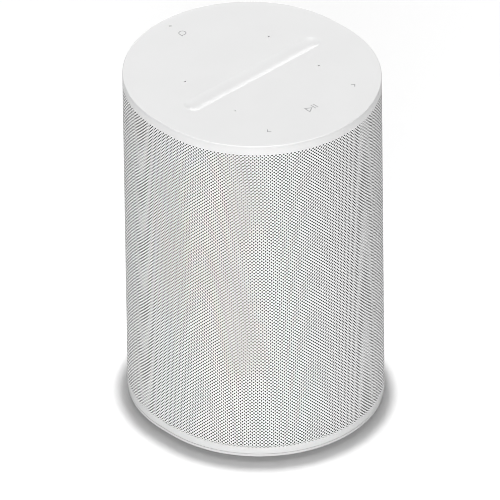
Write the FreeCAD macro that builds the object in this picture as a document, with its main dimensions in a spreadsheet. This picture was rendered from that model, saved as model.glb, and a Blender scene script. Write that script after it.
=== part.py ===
import FreeCAD, Part

import math
import os

import Sketcher
from FreeCAD import Placement, Rotation, Vector

# A compact smart speaker with an oval body, in millimetres.
# The frame: origin at the centre of the base on the floor, +Z up, -Y out of the
# front, +X to the listener's right hand when the speaker is seen from the front.
# Plan of the body: two half circles of case_radius whose centres lie case_flat
# in front of and behind the origin, joined by short straight sides.

doc = FreeCAD.newDocument("smart_speaker")

# ---------------------------------------------------------------- driving sizes
SIZES = [
    # outer case
    ("case_radius", 59.5),          # end radius of the oval plan
    ("case_flat", 3.6),             # centre of each end radius from the origin, along Y
    ("case_top", 182.5),
    ("cap_rim_low", 181.35),        # lower edge of the visible rim of the top cap
    ("cap_plate_low", 179.5),
    ("cap_edge", 0.5),              # rounding of the rim
    ("cap_spigot", 57.7),
    ("trough_depth", 1.0),          # concave touch slider
    ("trough_round", 11.0),
    ("trough_half", 38.4),
    ("mic_across", 27.5),
    ("mic_back", 17.4),
    ("mic_hole", 0.35),
    ("led_back", 57.0),
    ("led_hole", 0.65),
    ("led_pipe", 0.6),
    ("led_pipe_top", 182.4),
    # perforated sleeve and the cloth behind it
    ("grille_low", 4.15),
    ("grille_top", 181.2),
    ("grille_inside", 57.9),
    ("mesh_outside", 57.5),
    ("mesh_inside", 57.0),
    ("mesh_low", 11.6),
    ("mesh_top", 178.5),
    # base
    ("base_low", 2.5),
    ("base_lip", 4.0),
    ("base_floor", 5.5),
    ("base_top", 11.0),
    ("base_spigot", 57.6),
    ("base_inside", 55.4),
    ("base_edge", 0.3),
    ("foot_outside", 54.5),
    ("foot_inside", 45.0),
    ("foot_top", 3.5),
    ("insert_outside", 5.0),
    ("insert_thread", 3.175),
    ("insert_low", 3.0),
    ("insert_top", 11.5),
    ("insert_boss", 8.0),
    # inner cabinet
    ("cabinet_low", 12.0),
    ("cabinet_top", 168.0),
    ("cabinet_radius", 56.6),
    ("cabinet_wall", 2.6),
    ("cabinet_floor", 3.0),
    ("split", 18.0),                # back edge of the front cabinet
    ("seal", 0.8),
    ("back_wall", 2.6),
    ("rear_wall", 1.6),
    ("woofer_face", 34.0),          # distance of the woofer's mounting face from the origin
    ("woofer_height", 62.0),
    ("woofer_bay_low", 15.0),
    ("bay_line", 106.6),            # between the woofer bay and the tweeter bays
    ("tweeter_bay_top", 154.0),
    ("tweeter_face", 44.0),
    ("tweeter_height", 130.0),
    ("tweeter_turn", 50.0),         # each tweeter points this far away from the front
    ("reach", 80.0),                # a size beyond the whole body, for cutting tools
    # fasteners
    ("case_shank", 1.4),
    ("case_head", 2.8),
    ("case_head_depth", 1.9),
    ("case_screw_length", 14.0),
    ("seam_head", 2.4),
    ("seam_head_depth", 1.6),
    ("small_shank", 1.0),
    ("small_head", 2.0),
    ("small_head_depth", 1.4),
    ("small_screw_length", 5.0),
    ("post", 4.0),
    ("small_post", 2.8),
    ("base_screw_across", 32.0),
    ("base_screw_front", 22.0),
    ("base_screw_back", 8.0),
    ("base_screw_seat", 4.5),
    ("top_screw_across", 44.0),
    ("top_screw_back", 12.0),
    ("seam_screw_across", 48.3),
    ("seam_boss", 4.2),
    ("seam_screw_low", 24.0),
    ("seam_screw_mid", 90.0),
    ("seam_screw_high", 156.0),
    ("lug", 1.8),
    # woofer, from the back of its yoke forwards
    ("driver_depth", 34.0),         # back of the yoke to the mounting face
    ("yoke_radius", 32.0),
    ("yoke_plate", 4.0),
    ("vent", 4.0),
    ("pole", 11.6),
    ("gap_top", 17.0),
    ("magnet_inside", 16.0),
    ("magnet_outside", 35.0),
    ("magnet_top", 13.0),
    ("plate_inside", 13.3),
    ("plate_outside", 33.0),
    ("former_inside", 12.2),
    ("former_outside", 12.45),
    ("winding", 12.9),
    ("former_low", 9.0),
    ("winding_low", 10.0),
    ("winding_top", 20.0),
    ("former_top", 26.0),
    ("basket_neck", 22.0),
    ("basket_seat", 34.5),
    ("basket_waist", 39.5),
    ("basket_outside", 44.0),
    ("basket_wall", 1.8),
    ("flange_low", 34.8),
    ("flange_top", 36.8),
    ("window", 6.5),
    ("window_place", 37.0),
    ("woofer_hole", 40.8),
    ("cone_outside", 32.0),
    ("cone_low", 24.0),
    ("paper", 0.8),
    ("roll", 35.2),
    ("roll_outer", 3.3),
    ("roll_inner", 2.6),
    ("roll_lip", 0.7),
    ("cap_round", 21.0),
    ("cap_low", 26.6),
    ("cap_rise", 4.5),
    ("spider_foot", 30.0),
    ("spider_height", 20.6),
    ("woofer_screw_circle", 41.6),
    ("spoke_count", 6),
    # tweeters, from the back of each motor forwards
    ("tweeter_depth", 20.0),
    ("motor_radius", 15.5),
    ("motor_low", 2.0),
    ("motor_recess", 11.0),
    ("motor_floor", 19.0),
    ("tweeter_seal", 0.6),
    ("tweeter_hole", 16.5),
    ("throat", 10.6),
    ("mouth", 20.0),
    ("waveguide_outside", 23.0),
    ("waveguide_edge", 23.6),
    ("waveguide_lip", 25.0),
    ("dome_radius", 9.9),
    ("dome_round", 15.0),
    ("dome_low", 20.9),
    ("dome_skin", 0.3),
    ("dome_coil", 9.4),
    ("dome_coil_low", 19.6),
    ("tweeter_screw_circle", 19.8),
    # boards
    ("board", 1.6),
    ("board_face", 26.0),
    ("board_half", 40.0),
    ("board_screw_across", 36.0),
    ("main_low", 82.0),
    ("main_top", 160.0),
    ("supply_low", 20.0),
    ("supply_top", 76.0),
    ("screw_inset", 4.0),
    ("touch_radius", 38.0),
    ("touch_low", 175.8),
    ("touch_screw_across", 20.0),
    ("touch_screw_back", 28.0),
    ("tongue_half", 5.0),
    ("tongue_back", 59.4),
    # rear panel, whose own origin is the middle of its inner face
    ("panel_back", 57.3),
    ("panel_height", 58.0),
    ("panel_run", 27.0),            # half the straight run of the pill outline
    ("panel_radius", 11.0),
    ("panel_flange_radius", 14.0),
    ("panel_flange", 2.0),
    ("panel_thick", 4.7),
    ("panel_gap", 0.3),
    ("button_up", 24.0),
    ("button_radius", 4.5),
    ("button_hole", 4.9),
    ("button_flange", 5.6),
    ("button_flange_thick", 1.2),
    ("button_out", 5.3),
    ("switch_up", 10.0),
    ("switch_slot_run", 3.4),
    ("switch_slot_half", 1.8),
    ("knob_rest", 1.5),
    ("knob_half", 1.6),
    ("knob_tall", 1.4),
    ("knob_out", 5.2),
    ("slider_half", 5.2),           # the plate behind the panel that carries the knob
    ("slider_tall", 2.6),
    ("slider_plate", 1.0),
    ("slider_gap", 0.2),
    ("usb_down", 4.0),
    ("usb_round", 1.63),
    ("usb_run", 2.84),
    ("usb_shell", 0.35),
    ("usb_out", 4.3),
    ("usb_back", 6.0),
    ("usb_depth", 6.2),
    ("tongue_plate", 3.35),
    ("tongue_thick", 0.35),
    ("inlet_down", 22.0),
    ("inlet_round", 5.7),
    ("inlet_run", 4.0),
    ("socket_round", 4.2),
    ("socket_floor", 7.5),
    ("inlet_back", 14.0),
    ("inlet_out", 4.5),
    ("blade", 1.18),
    ("blade_across", 4.3),
    ("blade_back", 16.0),
    ("blade_out", 2.5),
    ("io_face", 6.0),               # rear face of the input board, behind the panel's inner face
    ("io_half", 13.0),
    ("io_up", 36.0),
    ("io_down", 12.0),
    ("io_post_across", 10.0),
    ("io_post_up", 33.0),
    ("io_post_down", 9.5),
    # switches on the input board
    ("tact_half", 3.0),
    ("tact_height", 3.4),
    ("plunger", 1.7),
    ("plunger_height", 4.1),
    ("slide_half", 4.5),
    ("slide_tall", 2.2),
    ("slide_top", 1.6),
    # parts on the main board
    ("can_left", 16.0),
    ("can_right", 14.0),
    ("can_low", 114.0),
    ("can_top", 142.0),
    ("can_height", 3.2),
    ("can_skin", 0.3),
    ("chip_half", 7.0),
    ("chip_height", 1.2),
    ("sink_half", 24.0),
    ("sink_middle", 100.0),
    ("sink_tall", 10.0),            # half its height
    ("sink_plate", 3.6),
    ("sink_height", 12.0),
    ("fin", 1.6),
    ("fin_step", 5.7),
    ("fin_count", 9),
    ("antenna_inner", 14.0),
    ("antenna_outer", 40.0),
    ("antenna_low", 162.0),
    ("antenna_tall", 3.0),
    ("antenna_thick", 0.8),
    ("ribbon_half", 8.0),
    ("ribbon_low", 87.0),
    ("ribbon_thick", 0.5),
    # parts on the power board
    ("core_left", 26.0),
    ("core_right", 4.0),
    ("core_low", 50.0),
    ("core_top", 68.0),
    ("core_height", 14.0),
    ("winding_inset", 4.0),
    ("winding_over", 3.25),
    ("winding_height", 12.0),
    ("choke_ring", 6.5),
    ("choke_wire", 3.0),
    ("choke_across", 22.0),
    ("choke_level", 34.0),
]

sheet = doc.addObject("Spreadsheet::Sheet", "dims")
for row, (alias, value) in enumerate(SIZES, start=1):
    sheet.set("A%d" % row, alias)
    sheet.set("B%d" % row, str(value))
    sheet.setAlias("B%d" % row, alias)
doc.recompute()

# every finished sub-part, in the order in which it is made
nodes = []


# ------------------------------------------------------------ sizes as text
# Sizes are written as sums of the sheet's names, such as "case_radius - seal".
def number(text):
    total = 0.0
    sign = 1.0
    for word in text.split():
        if word in "+-":
            sign = 1.0 if word == "+" else -1.0
        else:
            total += sign * float(sheet.get(word) if word[0].isalpha() else word)
            sign = 1.0
    return total


def bound(text):
    return " ".join("dims." + word if word[0].isalpha() else word for word in text.split())


def negative(text):
    swap = {"+": "-", "-": "+"}
    words = [swap.get(word, word) for word in text.split()]
    if words[0] in swap:
        return " ".join(words[1:] if words[0] == "+" else words)
    return "- " + " ".join(words)


def place(thing, x="0", y="0", z="0", rotation=None):
    thing.Placement = Placement(Vector(number(x), number(y), number(z)), rotation or Rotation())
    for axis, text in (("x", x), ("y", y), ("z", z)):
        thing.setExpression("Placement.Base." + axis, bound(text))
    return thing


def spots(across, *levels):
    """The places, each a pair of sums of sizes, at each level on both sides of the middle."""
    return [(x, y) for x in (across, "- " + across) for y in levels]


def keep(thing, label):
    thing.Label = label
    nodes.append(thing)
    return thing


# Rotations of a piece that is drawn with its outward side up.
FORWARD = Rotation(Vector(1, 0, 0), 90)      # up becomes -Y, out of the front
REARWARD = Rotation(Vector(1, 0, 0), -90)    # up becomes +Y, out of the back


# ------------------------------------------------------- Part Design helpers
def new_body(label):
    body = doc.addObject("PartDesign::Body", label)
    return keep(body, label)


def plane_sketch(body, role="XY_Plane", offset="0"):
    sketch = body.newObject("Sketcher::SketchObject", body.Name + "_sketch")
    plane = [f for f in body.Origin.OriginFeatures if f.Role == role][0]
    sketch.AttachmentSupport = [(plane, "")]
    sketch.MapMode = "FlatFace"
    sketch.setExpression("AttachmentOffset.Base.z", bound(offset))
    return sketch


def pin_point(sketch, element, point, x, y):
    """Ties a point of a sketch element to sums of sizes, measured from the sketch's origin."""
    for kind, axis, text in (("DistanceX", -2, x), ("DistanceY", -1, y)):
        value = number(text)
        if abs(value) < 1e-9:
            sketch.addConstraint(Sketcher.Constraint("PointOnObject", element, point, axis))
            continue
        if value > 0:
            constraint = Sketcher.Constraint(kind, -1, 1, element, point, value)
        else:
            constraint = Sketcher.Constraint(kind, element, point, -1, 1, -value)
            text = negative(text)
        index = sketch.addConstraint(constraint)
        sketch.setExpression("Constraints[%d]" % index, bound(text))


def circle(sketch, radius, x="0", y="0"):
    shape = Part.Circle(Vector(number(x), number(y), 0), Vector(0, 0, 1), number(radius))
    ring = sketch.addGeometry(shape)
    index = sketch.addConstraint(Sketcher.Constraint("Radius", ring, number(radius)))
    sketch.setExpression("Constraints[%d]" % index, bound(radius))
    pin_point(sketch, ring, 3, x, y)


def oval(sketch, radius, run, along="y", x="0", y="0"):
    """Two half circles, run each side of (x, y), joined by straight sides."""
    radius_now, run_now = number(radius), number(run)
    centre = Vector(number(x), number(y), 0)
    step = Vector(0, run_now, 0) if along == "y" else Vector(run_now, 0, 0)
    side = Vector(radius_now, 0, 0) if along == "y" else Vector(0, -radius_now, 0)
    start = 0.0 if along == "y" else -math.pi / 2
    arcs = []
    for sign, first in ((1, start), (-1, start + math.pi)):
        round_end = Part.Circle(centre + step * sign, Vector(0, 0, 1), radius_now)
        arcs.append(sketch.addGeometry(Part.ArcOfCircle(round_end, first, first + math.pi)))
    left = sketch.addGeometry(Part.LineSegment(centre + step - side, centre - step - side))
    right = sketch.addGeometry(Part.LineSegment(centre - step + side, centre + step + side))
    joins = [(arcs[0], 2, left, 1), (left, 2, arcs[1], 1), (arcs[1], 2, right, 1), (right, 2, arcs[0], 1)]
    for join in joins:
        sketch.addConstraint(Sketcher.Constraint("Tangent", *join))
    sketch.addConstraint(Sketcher.Constraint("Equal", arcs[0], arcs[1]))
    index = sketch.addConstraint(Sketcher.Constraint("Radius", arcs[0], radius_now))
    sketch.setExpression("Constraints[%d]" % index, bound(radius))
    for arc, shift in ((arcs[0], " + " + run), (arcs[1], " " + negative(run))):
        spot = (x, y + shift) if along == "y" else (x + shift, y)
        pin_point(sketch, arc, 3, *spot)


def outline(sketch, points):
    """A closed run of straight lines through points given as pairs of sums of sizes."""
    corners = [Vector(number(x), number(y), 0) for x, y in points]
    lines = []
    for i, corner in enumerate(corners):
        following = corners[(i + 1) % len(corners)]
        lines.append(sketch.addGeometry(Part.LineSegment(corner, following)))
    for i, line in enumerate(lines):
        sketch.addConstraint(Sketcher.Constraint("Coincident", line, 2, lines[(i + 1) % len(lines)], 1))
    for line, (x, y) in zip(lines, points):
        pin_point(sketch, line, 1, x, y)


def pad(body, sketch, length):
    feature = body.newObject("PartDesign::Pad", body.Name + "_pad")
    feature.Profile = sketch
    feature.setExpression("Length", bound(length))
    return feature


def pocket(body, sketch, length, upward=False):
    """Cuts down from the sketch's plane, or up from it."""
    feature = body.newObject("PartDesign::Pocket", body.Name + "_pocket")
    feature.Profile = sketch
    feature.Reversed = upward
    feature.setExpression("Length", bound(length))
    return feature


def turned(label, points):
    """A body turned about Z from an outline of (radius, level) points."""
    body = new_body(label)
    sketch = plane_sketch(body, "XZ_Plane")
    outline(sketch, points)
    feature = body.newObject("PartDesign::Revolution", label + "_turn")
    feature.Profile = sketch
    feature.ReferenceAxis = (sketch, ["V_Axis"])
    feature.Angle = 360
    return body


def ring(label, inside, outside, low, high):
    return turned(label, [(inside, low), (outside, low), (outside, high), (inside, high)])


def oval_sleeve(label, outside, inside, low, high):
    body = new_body(label)
    sketch = plane_sketch(body, offset=low)
    oval(sketch, outside, "case_flat")
    oval(sketch, inside, "case_flat")
    pad(body, sketch, high + " " + negative(low))
    return body


def pill_through_back(body, radius, run, thickness_from="case_radius - 30"):
    """Cuts the panel's pill outline out of the wall behind."""
    sketch = plane_sketch(body, "XZ_Plane", negative(thickness_from))
    oval(sketch, radius, run, "y", "0", "panel_height")
    return pocket(body, sketch, "reach")


# --------------------------------------------------------------- Part helpers
def box(label, low, high):
    """A box between two corners, each a triple of sums of sizes."""
    thing = doc.addObject("Part::Box", label)
    for side, first, last in zip(("Length", "Width", "Height"), low, high):
        thing.setExpression(side, "(%s) - (%s)" % (bound(last), bound(first)))
    return place(thing, *low)


def cylinder(label, radius, length, x, y, z, rotation=None):
    thing = doc.addObject("Part::Cylinder", label)
    thing.setExpression("Radius", bound(radius))
    thing.setExpression("Height", bound(length))
    return place(thing, x, y, z, rotation)


def sphere(label, radius, x, y, z):
    thing = doc.addObject("Part::Sphere", label)
    thing.setExpression("Radius", bound(radius))
    return place(thing, x, y, z)


def cut(label, base, tool):
    thing = doc.addObject("Part::Cut", label)
    thing.Base = base
    thing.Tool = tool
    return thing


def common(label, base, tool):
    thing = doc.addObject("Part::Common", label)
    thing.Base = base
    thing.Tool = tool
    return thing


def fuse(label, pieces):
    thing = doc.addObject("Part::MultiFuse", label)
    thing.Shapes = pieces
    return thing


def group(label, pieces):
    """Separate solids that share one node."""
    thing = doc.addObject("Part::Compound", label)
    thing.Links = pieces
    return keep(thing, label)


def screw(label, shank, head, head_depth, length, x, y, z, rotation):
    """A screw with a cross recess; (x, y, z) is the seat of its head, and its tip is length further up."""
    pieces = [
        cylinder(label + "_shank", shank, length, "0", "0", "0"),
        cylinder(label + "_head", head, head_depth, "0", "0", negative(head_depth)),
    ]
    solid = fuse(label + "_solid", pieces)
    slots = []
    for turn in (0, 90):
        slot = doc.addObject("Part::Box", label + "_slot")
        slot.setExpression("Length", bound(head))
        slot.setExpression("Width", "dims.paper")
        slot.setExpression("Height", bound(head_depth))
        base = Placement(Vector(-number(head) / 2, -number("paper") / 2, 0), Rotation())
        drop = Placement(Vector(0, 0, -1.5 * number(head_depth)), Rotation(Vector(0, 0, 1), turn))
        slot.Placement = drop.multiply(base)
        slots.append(slot)
    finished = cut(label + "_cut", solid, fuse(label + "_cross", slots))
    return place(finished, x, y, z, rotation)


# ------------------------------------------------------------------- outside
def make_top_cap():
    body = new_body("top_cap")
    rim = plane_sketch(body, offset="cap_rim_low")
    oval(rim, "case_radius", "case_flat")
    rim_pad = pad(body, rim, "case_top - cap_rim_low")
    doc.recompute()
    edges = [
        "Edge%d" % (i + 1)
        for i, edge in enumerate(rim_pad.Shape.Edges)
        if edge.BoundBox.ZMin > number("case_top") - 1e-6
    ]
    rounding = body.newObject("PartDesign::Fillet", "top_cap_rounding")
    rounding.Base = (rim_pad, edges)
    rounding.setExpression("Radius", "dims.cap_edge")
    plate = plane_sketch(body, offset="cap_plate_low")
    oval(plate, "cap_spigot", "case_flat")
    pad(body, plate, "cap_rim_low - cap_plate_low")
    # posts for the touch board, then the longer ones that hold the cap to the cabinet
    short = plane_sketch(body, offset="touch_low + board")
    for x, y in spots("touch_screw_across", "touch_screw_back", "- touch_screw_back"):
        circle(short, "small_post", x, y)
    pad(body, short, "cap_plate_low - touch_low - board")
    tall = plane_sketch(body, offset="cabinet_top")
    for x, y in spots("top_screw_across", "top_screw_back", "- top_screw_back"):
        circle(tall, "post", x, y)
    pad(body, tall, "cap_plate_low - cabinet_top")
    # blind holes for both sets of screws
    small_holes = plane_sketch(body, offset="touch_low")
    for x, y in spots("touch_screw_across", "touch_screw_back", "- touch_screw_back"):
        circle(small_holes, "small_shank", x, y)
    pocket(body, small_holes, "small_screw_length", upward=True)
    case_holes = plane_sketch(body, offset="cabinet_top - cabinet_floor")
    for x, y in spots("top_screw_across", "top_screw_back", "- top_screw_back"):
        circle(case_holes, "case_shank", x, y)
    pocket(body, case_holes, "case_screw_length", upward=True)
    # microphone holes and the hole of the light
    holes = plane_sketch(body, offset="case_top")
    for x, y in spots("mic_across", "mic_back", "- mic_back"):
        circle(holes, "mic_hole", x, y)
    circle(holes, "led_hole", "0", "led_back")
    pocket(body, holes, "case_top - cap_plate_low + 1")
    # the touch slider: part of a lying cylinder with round ends
    level = "case_top - trough_depth + trough_round"
    trough = body.newObject("PartDesign::SubtractiveCylinder", "trough")
    trough.setExpression("Radius", "dims.trough_round")
    trough.setExpression("Height", "2 * dims.trough_half")
    place(trough, "- trough_half", "0", level, Rotation(Vector(0, 1, 0), 90))
    for end in ("trough_half", "- trough_half"):
        ball = body.newObject("PartDesign::SubtractiveSphere", "trough_end")
        ball.setExpression("Radius", "dims.trough_round")
        place(ball, end, "0", level)


def make_sleeves():
    grille = oval_sleeve("grille_shell", "case_radius", "grille_inside", "grille_low", "grille_top")
    pill_through_back(grille, "panel_radius + panel_gap", "panel_run")
    mesh = oval_sleeve("acoustic_mesh", "mesh_outside", "mesh_inside", "mesh_low", "mesh_top")
    pill_through_back(mesh, "panel_flange_radius + panel_gap", "panel_run")


def base_screw_spots():
    return spots("base_screw_across", "- base_screw_front", "base_screw_back")


def make_base():
    body = new_body("base_cover")
    lip = plane_sketch(body, offset="base_low")
    oval(lip, "case_radius", "case_flat")
    lip_pad = pad(body, lip, "base_lip - base_low")
    doc.recompute()
    edges = [
        "Edge%d" % (i + 1)
        for i, edge in enumerate(lip_pad.Shape.Edges)
        if edge.BoundBox.ZMax < number("base_low") + 1e-6
    ]
    rounding = body.newObject("PartDesign::Fillet", "base_rounding")
    rounding.Base = (lip_pad, edges)
    rounding.setExpression("Radius", "dims.base_edge")
    spigot = plane_sketch(body, offset="base_lip")
    oval(spigot, "base_spigot", "case_flat")
    pad(body, spigot, "base_top - base_lip")
    tray = plane_sketch(body, offset="base_top")
    oval(tray, "base_inside", "case_flat")
    pocket(body, tray, "base_top - base_floor")
    posts = plane_sketch(body, offset="base_floor")
    for x, y in base_screw_spots():
        circle(posts, "post", x, y)
    circle(posts, "insert_boss")
    pad(body, posts, "cabinet_low - base_floor")
    groove = plane_sketch(body, offset="base_low")
    oval(groove, "foot_outside", "case_flat")
    oval(groove, "foot_inside", "case_flat")
    pocket(body, groove, "foot_top - base_low", upward=True)
    heads = plane_sketch(body, offset="base_low")
    for x, y in base_screw_spots():
        circle(heads, "case_head + panel_gap", x, y)
    pocket(body, heads, "base_screw_seat - base_low", upward=True)
    holes = plane_sketch(body, offset="base_low")
    for x, y in base_screw_spots():
        circle(holes, "case_shank", x, y)
    circle(holes, "insert_outside")
    pocket(body, holes, "reach", upward=True)
    oval_sleeve("foot_ring", "foot_outside", "foot_inside", "0", "foot_top")
    ring("mount_insert", "insert_thread", "insert_outside", "insert_low", "insert_top")


# -------------------------------------------------------------- inner cabinet
def oval_block(label, radius, low, high):
    body = doc.addObject("PartDesign::Body", label)
    sketch = plane_sketch(body, offset=low)
    oval(sketch, radius, "case_flat")
    pad(body, sketch, high + " " + negative(low))
    return body


def front_bays(label, inset):
    """The space in front of the driver faces, grown by inset to leave the cabinet's wall."""
    woofer_bay = box(
        label + "_woofer_bay",
        ("- reach", "- reach", "woofer_bay_low - " + inset),
        ("reach", "- woofer_face + " + inset, "bay_line + " + inset),
    )
    bays = [woofer_bay]
    for side, turn in (("left", -1), ("right", 1)):
        bay = doc.addObject("Part::Box", label + "_" + side + "_bay")
        bay.setExpression("Length", "2 * dims.reach")
        bay.setExpression("Width", "dims.reach")
        bay.setExpression("Height", bound("tweeter_bay_top + " + inset + " + " + inset + " - bay_line"))
        face = number("tweeter_face - " + inset)
        corner = Vector(-number("reach"), -face - number("reach"), number("bay_line - " + inset))
        turning = Placement(Vector(), Rotation(Vector(0, 0, 1), turn * number("tweeter_turn")))
        bay.Placement = turning.multiply(Placement(corner, Rotation()))
        bays.append(bay)
    return fuse(label + "_bays", bays)


def driver_holes():
    woofer = cylinder("woofer_opening", "woofer_hole", "reach", "0", "0", "woofer_height", FORWARD)
    tools = [woofer]
    for side, turn in (("left", -1), ("right", 1)):
        tilt = Rotation(Vector(0, 0, 1), turn * number("tweeter_turn")).multiply(FORWARD)
        tools.append(
            cylinder(side + "_tweeter_opening", "tweeter_hole", "reach", "0", "0", "tweeter_height", tilt)
        )
    return tools


def seam_spots():
    return spots("seam_screw_across", "seam_screw_low", "seam_screw_mid", "seam_screw_high")


def make_cabinet():
    outside = oval_block("cabinet_outside", "cabinet_radius", "cabinet_low", "cabinet_top")
    inside = oval_block(
        "cabinet_inside",
        "cabinet_radius - cabinet_wall",
        "cabinet_low + cabinet_floor",
        "cabinet_top - cabinet_floor",
    )
    skin = cut("cabinet_skin", outside, front_bays("outer", "0"))
    hollow = cut("cabinet_hollow", inside, front_bays("inner", "cabinet_wall"))
    shell = cut("cabinet_shell", skin, hollow)
    front_half = box(
        "front_half", ("- reach", "- reach", "0"), ("reach", "split", "case_top")
    )
    walls = common("front_walls", shell, front_half)
    # bosses for the seam screws and the base screws
    bosses = []
    for i, (x, z) in enumerate(seam_spots()):
        bosses.append(
            cylinder("seam_boss_%d" % i, "seam_boss", "10", x, "split + seal - 10", z, REARWARD)
        )
    for i, (x, y) in enumerate(base_screw_spots()):
        bosses.append(cylinder("base_boss_%d" % i, "post", "7", x, y, "cabinet_low + cabinet_floor"))
    bossed = fuse("front_bossed", [walls] + bosses)
    drills = driver_holes()
    for i, (x, z) in enumerate(seam_spots()):
        drills.append(
            cylinder("seam_drill_%d" % i, "case_shank", "reach", x, "split + seal - 9", z, REARWARD)
        )
    for i, (x, y) in enumerate(base_screw_spots()):
        drills.append(cylinder("base_drill_%d" % i, "case_shank", "9", x, y, "cabinet_low"))
    for i, (x, y) in enumerate(top_spots()):
        drills.append(cylinder("top_drill_%d" % i, "case_shank", "5", x, y, "cabinet_top - 4"))
    for i, (x, z) in enumerate(woofer_screw_spots()):
        drills.append(
            cylinder(
                "woofer_drill_%d" % i,
                "small_shank",
                "cabinet_wall + 1",
                x,
                "- woofer_face - 0.5",
                z,
                REARWARD,
            )
        )
    drills += tweeter_tools("tweeter_drill", "small_shank", "tweeter_depth - 4", "5")
    keep(cut("front_cabinet", bossed, fuse("front_drills", drills)), "front_cabinet")
    # gasket between the two halves
    seal_slice = box("seal_slice", ("- reach", "split", "0"), ("reach", "split + seal", "case_top"))
    gasket = common("gasket_ring", shell, seal_slice)
    notches = [
        cylinder("gasket_notch_%d" % i, "seam_boss", "seal", x, "split", z, REARWARD)
        for i, (x, z) in enumerate(seam_spots())
    ]
    keep(cut("cabinet_gasket", gasket, fuse("gasket_notches", notches)), "cabinet_gasket")
    # back wall of the sealed volume, with standoffs for the boards and holes for the leads
    back_slice = box(
        "back_slice",
        ("- reach", "split + seal", "0"),
        ("reach", "split + seal + back_wall", "case_top"),
    )
    plate = common("back_plate", outside, back_slice)
    height = "board_face - split - seal - 1"
    standoffs = [
        cylinder("standoff_%d" % i, "small_post", height, x, "split + seal + 1", z, REARWARD)
        for i, (x, z) in enumerate(board_spots())
    ]
    drills = [
        cylinder("back_drill_%d" % i, "case_shank", "reach", x, "0", z, REARWARD)
        for i, (x, z) in enumerate(seam_spots())
    ]
    start = "board_face + board - small_screw_length"
    drills += [
        cylinder("standoff_drill_%d" % i, "small_shank", "small_screw_length", x, start, z, REARWARD)
        for i, (x, z) in enumerate(board_spots())
    ]
    drills += [
        cylinder("lead_drill_%d" % i, "1", "reach", x, "0", z, REARWARD)
        for i, (x, z) in enumerate(lead_spots())
    ]
    back = cut("cabinet_back", fuse("back_solid", [plate] + standoffs), fuse("back_drills", drills))
    keep(back, "cabinet_back")
    # rear housing around the electronics
    bay = oval_block(
        "rear_bay", "cabinet_radius - rear_wall", "cabinet_low + rear_wall", "cabinet_top - rear_wall"
    )
    rear_slice = box(
        "rear_slice", ("- reach", "split + seal + back_wall", "0"), ("reach", "reach", "case_top")
    )
    rear_walls = common("rear_walls", cut("rear_shell", outside, bay), rear_slice)
    lugs = [
        cylinder("lug_%d" % i, "seam_boss", "lug", x, "split + seal + back_wall", z, REARWARD)
        for i, (x, z) in enumerate(seam_spots())
    ]
    flex_slot = box(
        "flex_slot",
        ("- 6.5", "board_face + 3", "cabinet_top - 3"),
        ("6.5", "board_face + 5", "cabinet_top + 1"),
    )
    tools = [
        cylinder("lug_drill_%d" % i, "case_shank", "reach", x, "0", z, REARWARD)
        for i, (x, z) in enumerate(seam_spots())
    ]
    tools.append(panel_window())
    tools.append(flex_slot)
    solid = fuse("rear_solid", [rear_walls] + lugs)
    keep(cut("rear_housing", solid, fuse("rear_tools", tools)), "rear_housing")


def panel_window():
    body = doc.addObject("PartDesign::Body", "panel_window")
    sketch = plane_sketch(body)
    oval(sketch, "panel_flange_radius + 0.5", "panel_run")
    pad(body, sketch, "reach")
    return place(body, "0", "split + 20", "panel_height", REARWARD)


# ------------------------------------------------------------- screw positions
def top_spots():
    return spots("top_screw_across", "top_screw_back", "- top_screw_back")


def board_spots():
    return [
        (x, z)
        for x in ("board_screw_across", "- board_screw_across")
        for z in (
            "main_low + screw_inset",
            "main_top - screw_inset",
            "supply_low + screw_inset",
            "supply_top - screw_inset",
        )
    ]


def lead_spots():
    return [("3", "104"), ("- 3", "104"), ("20", "tweeter_height"), ("- 20", "tweeter_height")]


def woofer_screw_spots():
    """Four screws on a circle about the woofer's axis, on its diagonals."""
    half = number("woofer_screw_circle") / math.sqrt(2.0)
    return [
        ("%.3f" % x if x > 0 else "- %.3f" % -x, "woofer_height %s %.3f" % ("+" if z > 0 else "-", abs(z)))
        for x in (half, -half)
        for z in (half, -half)
    ]


def tweeter_frames():
    """Name, and placement of the back end, of each tweeter, drawn with its outward side up."""
    frames = []
    back = number("tweeter_face - tweeter_depth")
    for side, turn in (("left", -1), ("right", 1)):
        spin = Rotation(Vector(0, 0, 1), turn * number("tweeter_turn"))
        start = spin.multVec(Vector(0, -back, 0)) + Vector(0, 0, number("tweeter_height"))
        frames.append((side, Placement(start, spin.multiply(FORWARD))))
    return frames


def tweeter_spots():
    circle_radius = number("tweeter_screw_circle")
    return [
        Vector(circle_radius * math.cos(a), circle_radius * math.sin(a), 0)
        for a in (math.radians(90), math.radians(210), math.radians(330))
    ]


def tweeter_tools(label, radius, start, length):
    tools = []
    for side, frame in tweeter_frames():
        for i, spot in enumerate(tweeter_spots()):
            tool = cylinder("%s_%s_%d" % (label, side, i), radius, length, "0", "0", "0")
            for axis in "xyz":
                tool.setExpression("Placement.Base." + axis, None)
            tool.Placement = frame.multiply(Placement(spot + Vector(0, 0, number(start)), Rotation()))
            tools.append(tool)
    return tools


# --------------------------------------------------------------------- woofer
def set_driver(body):
    return place(body, "0", "driver_depth - woofer_face", "woofer_height", FORWARD)


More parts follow.
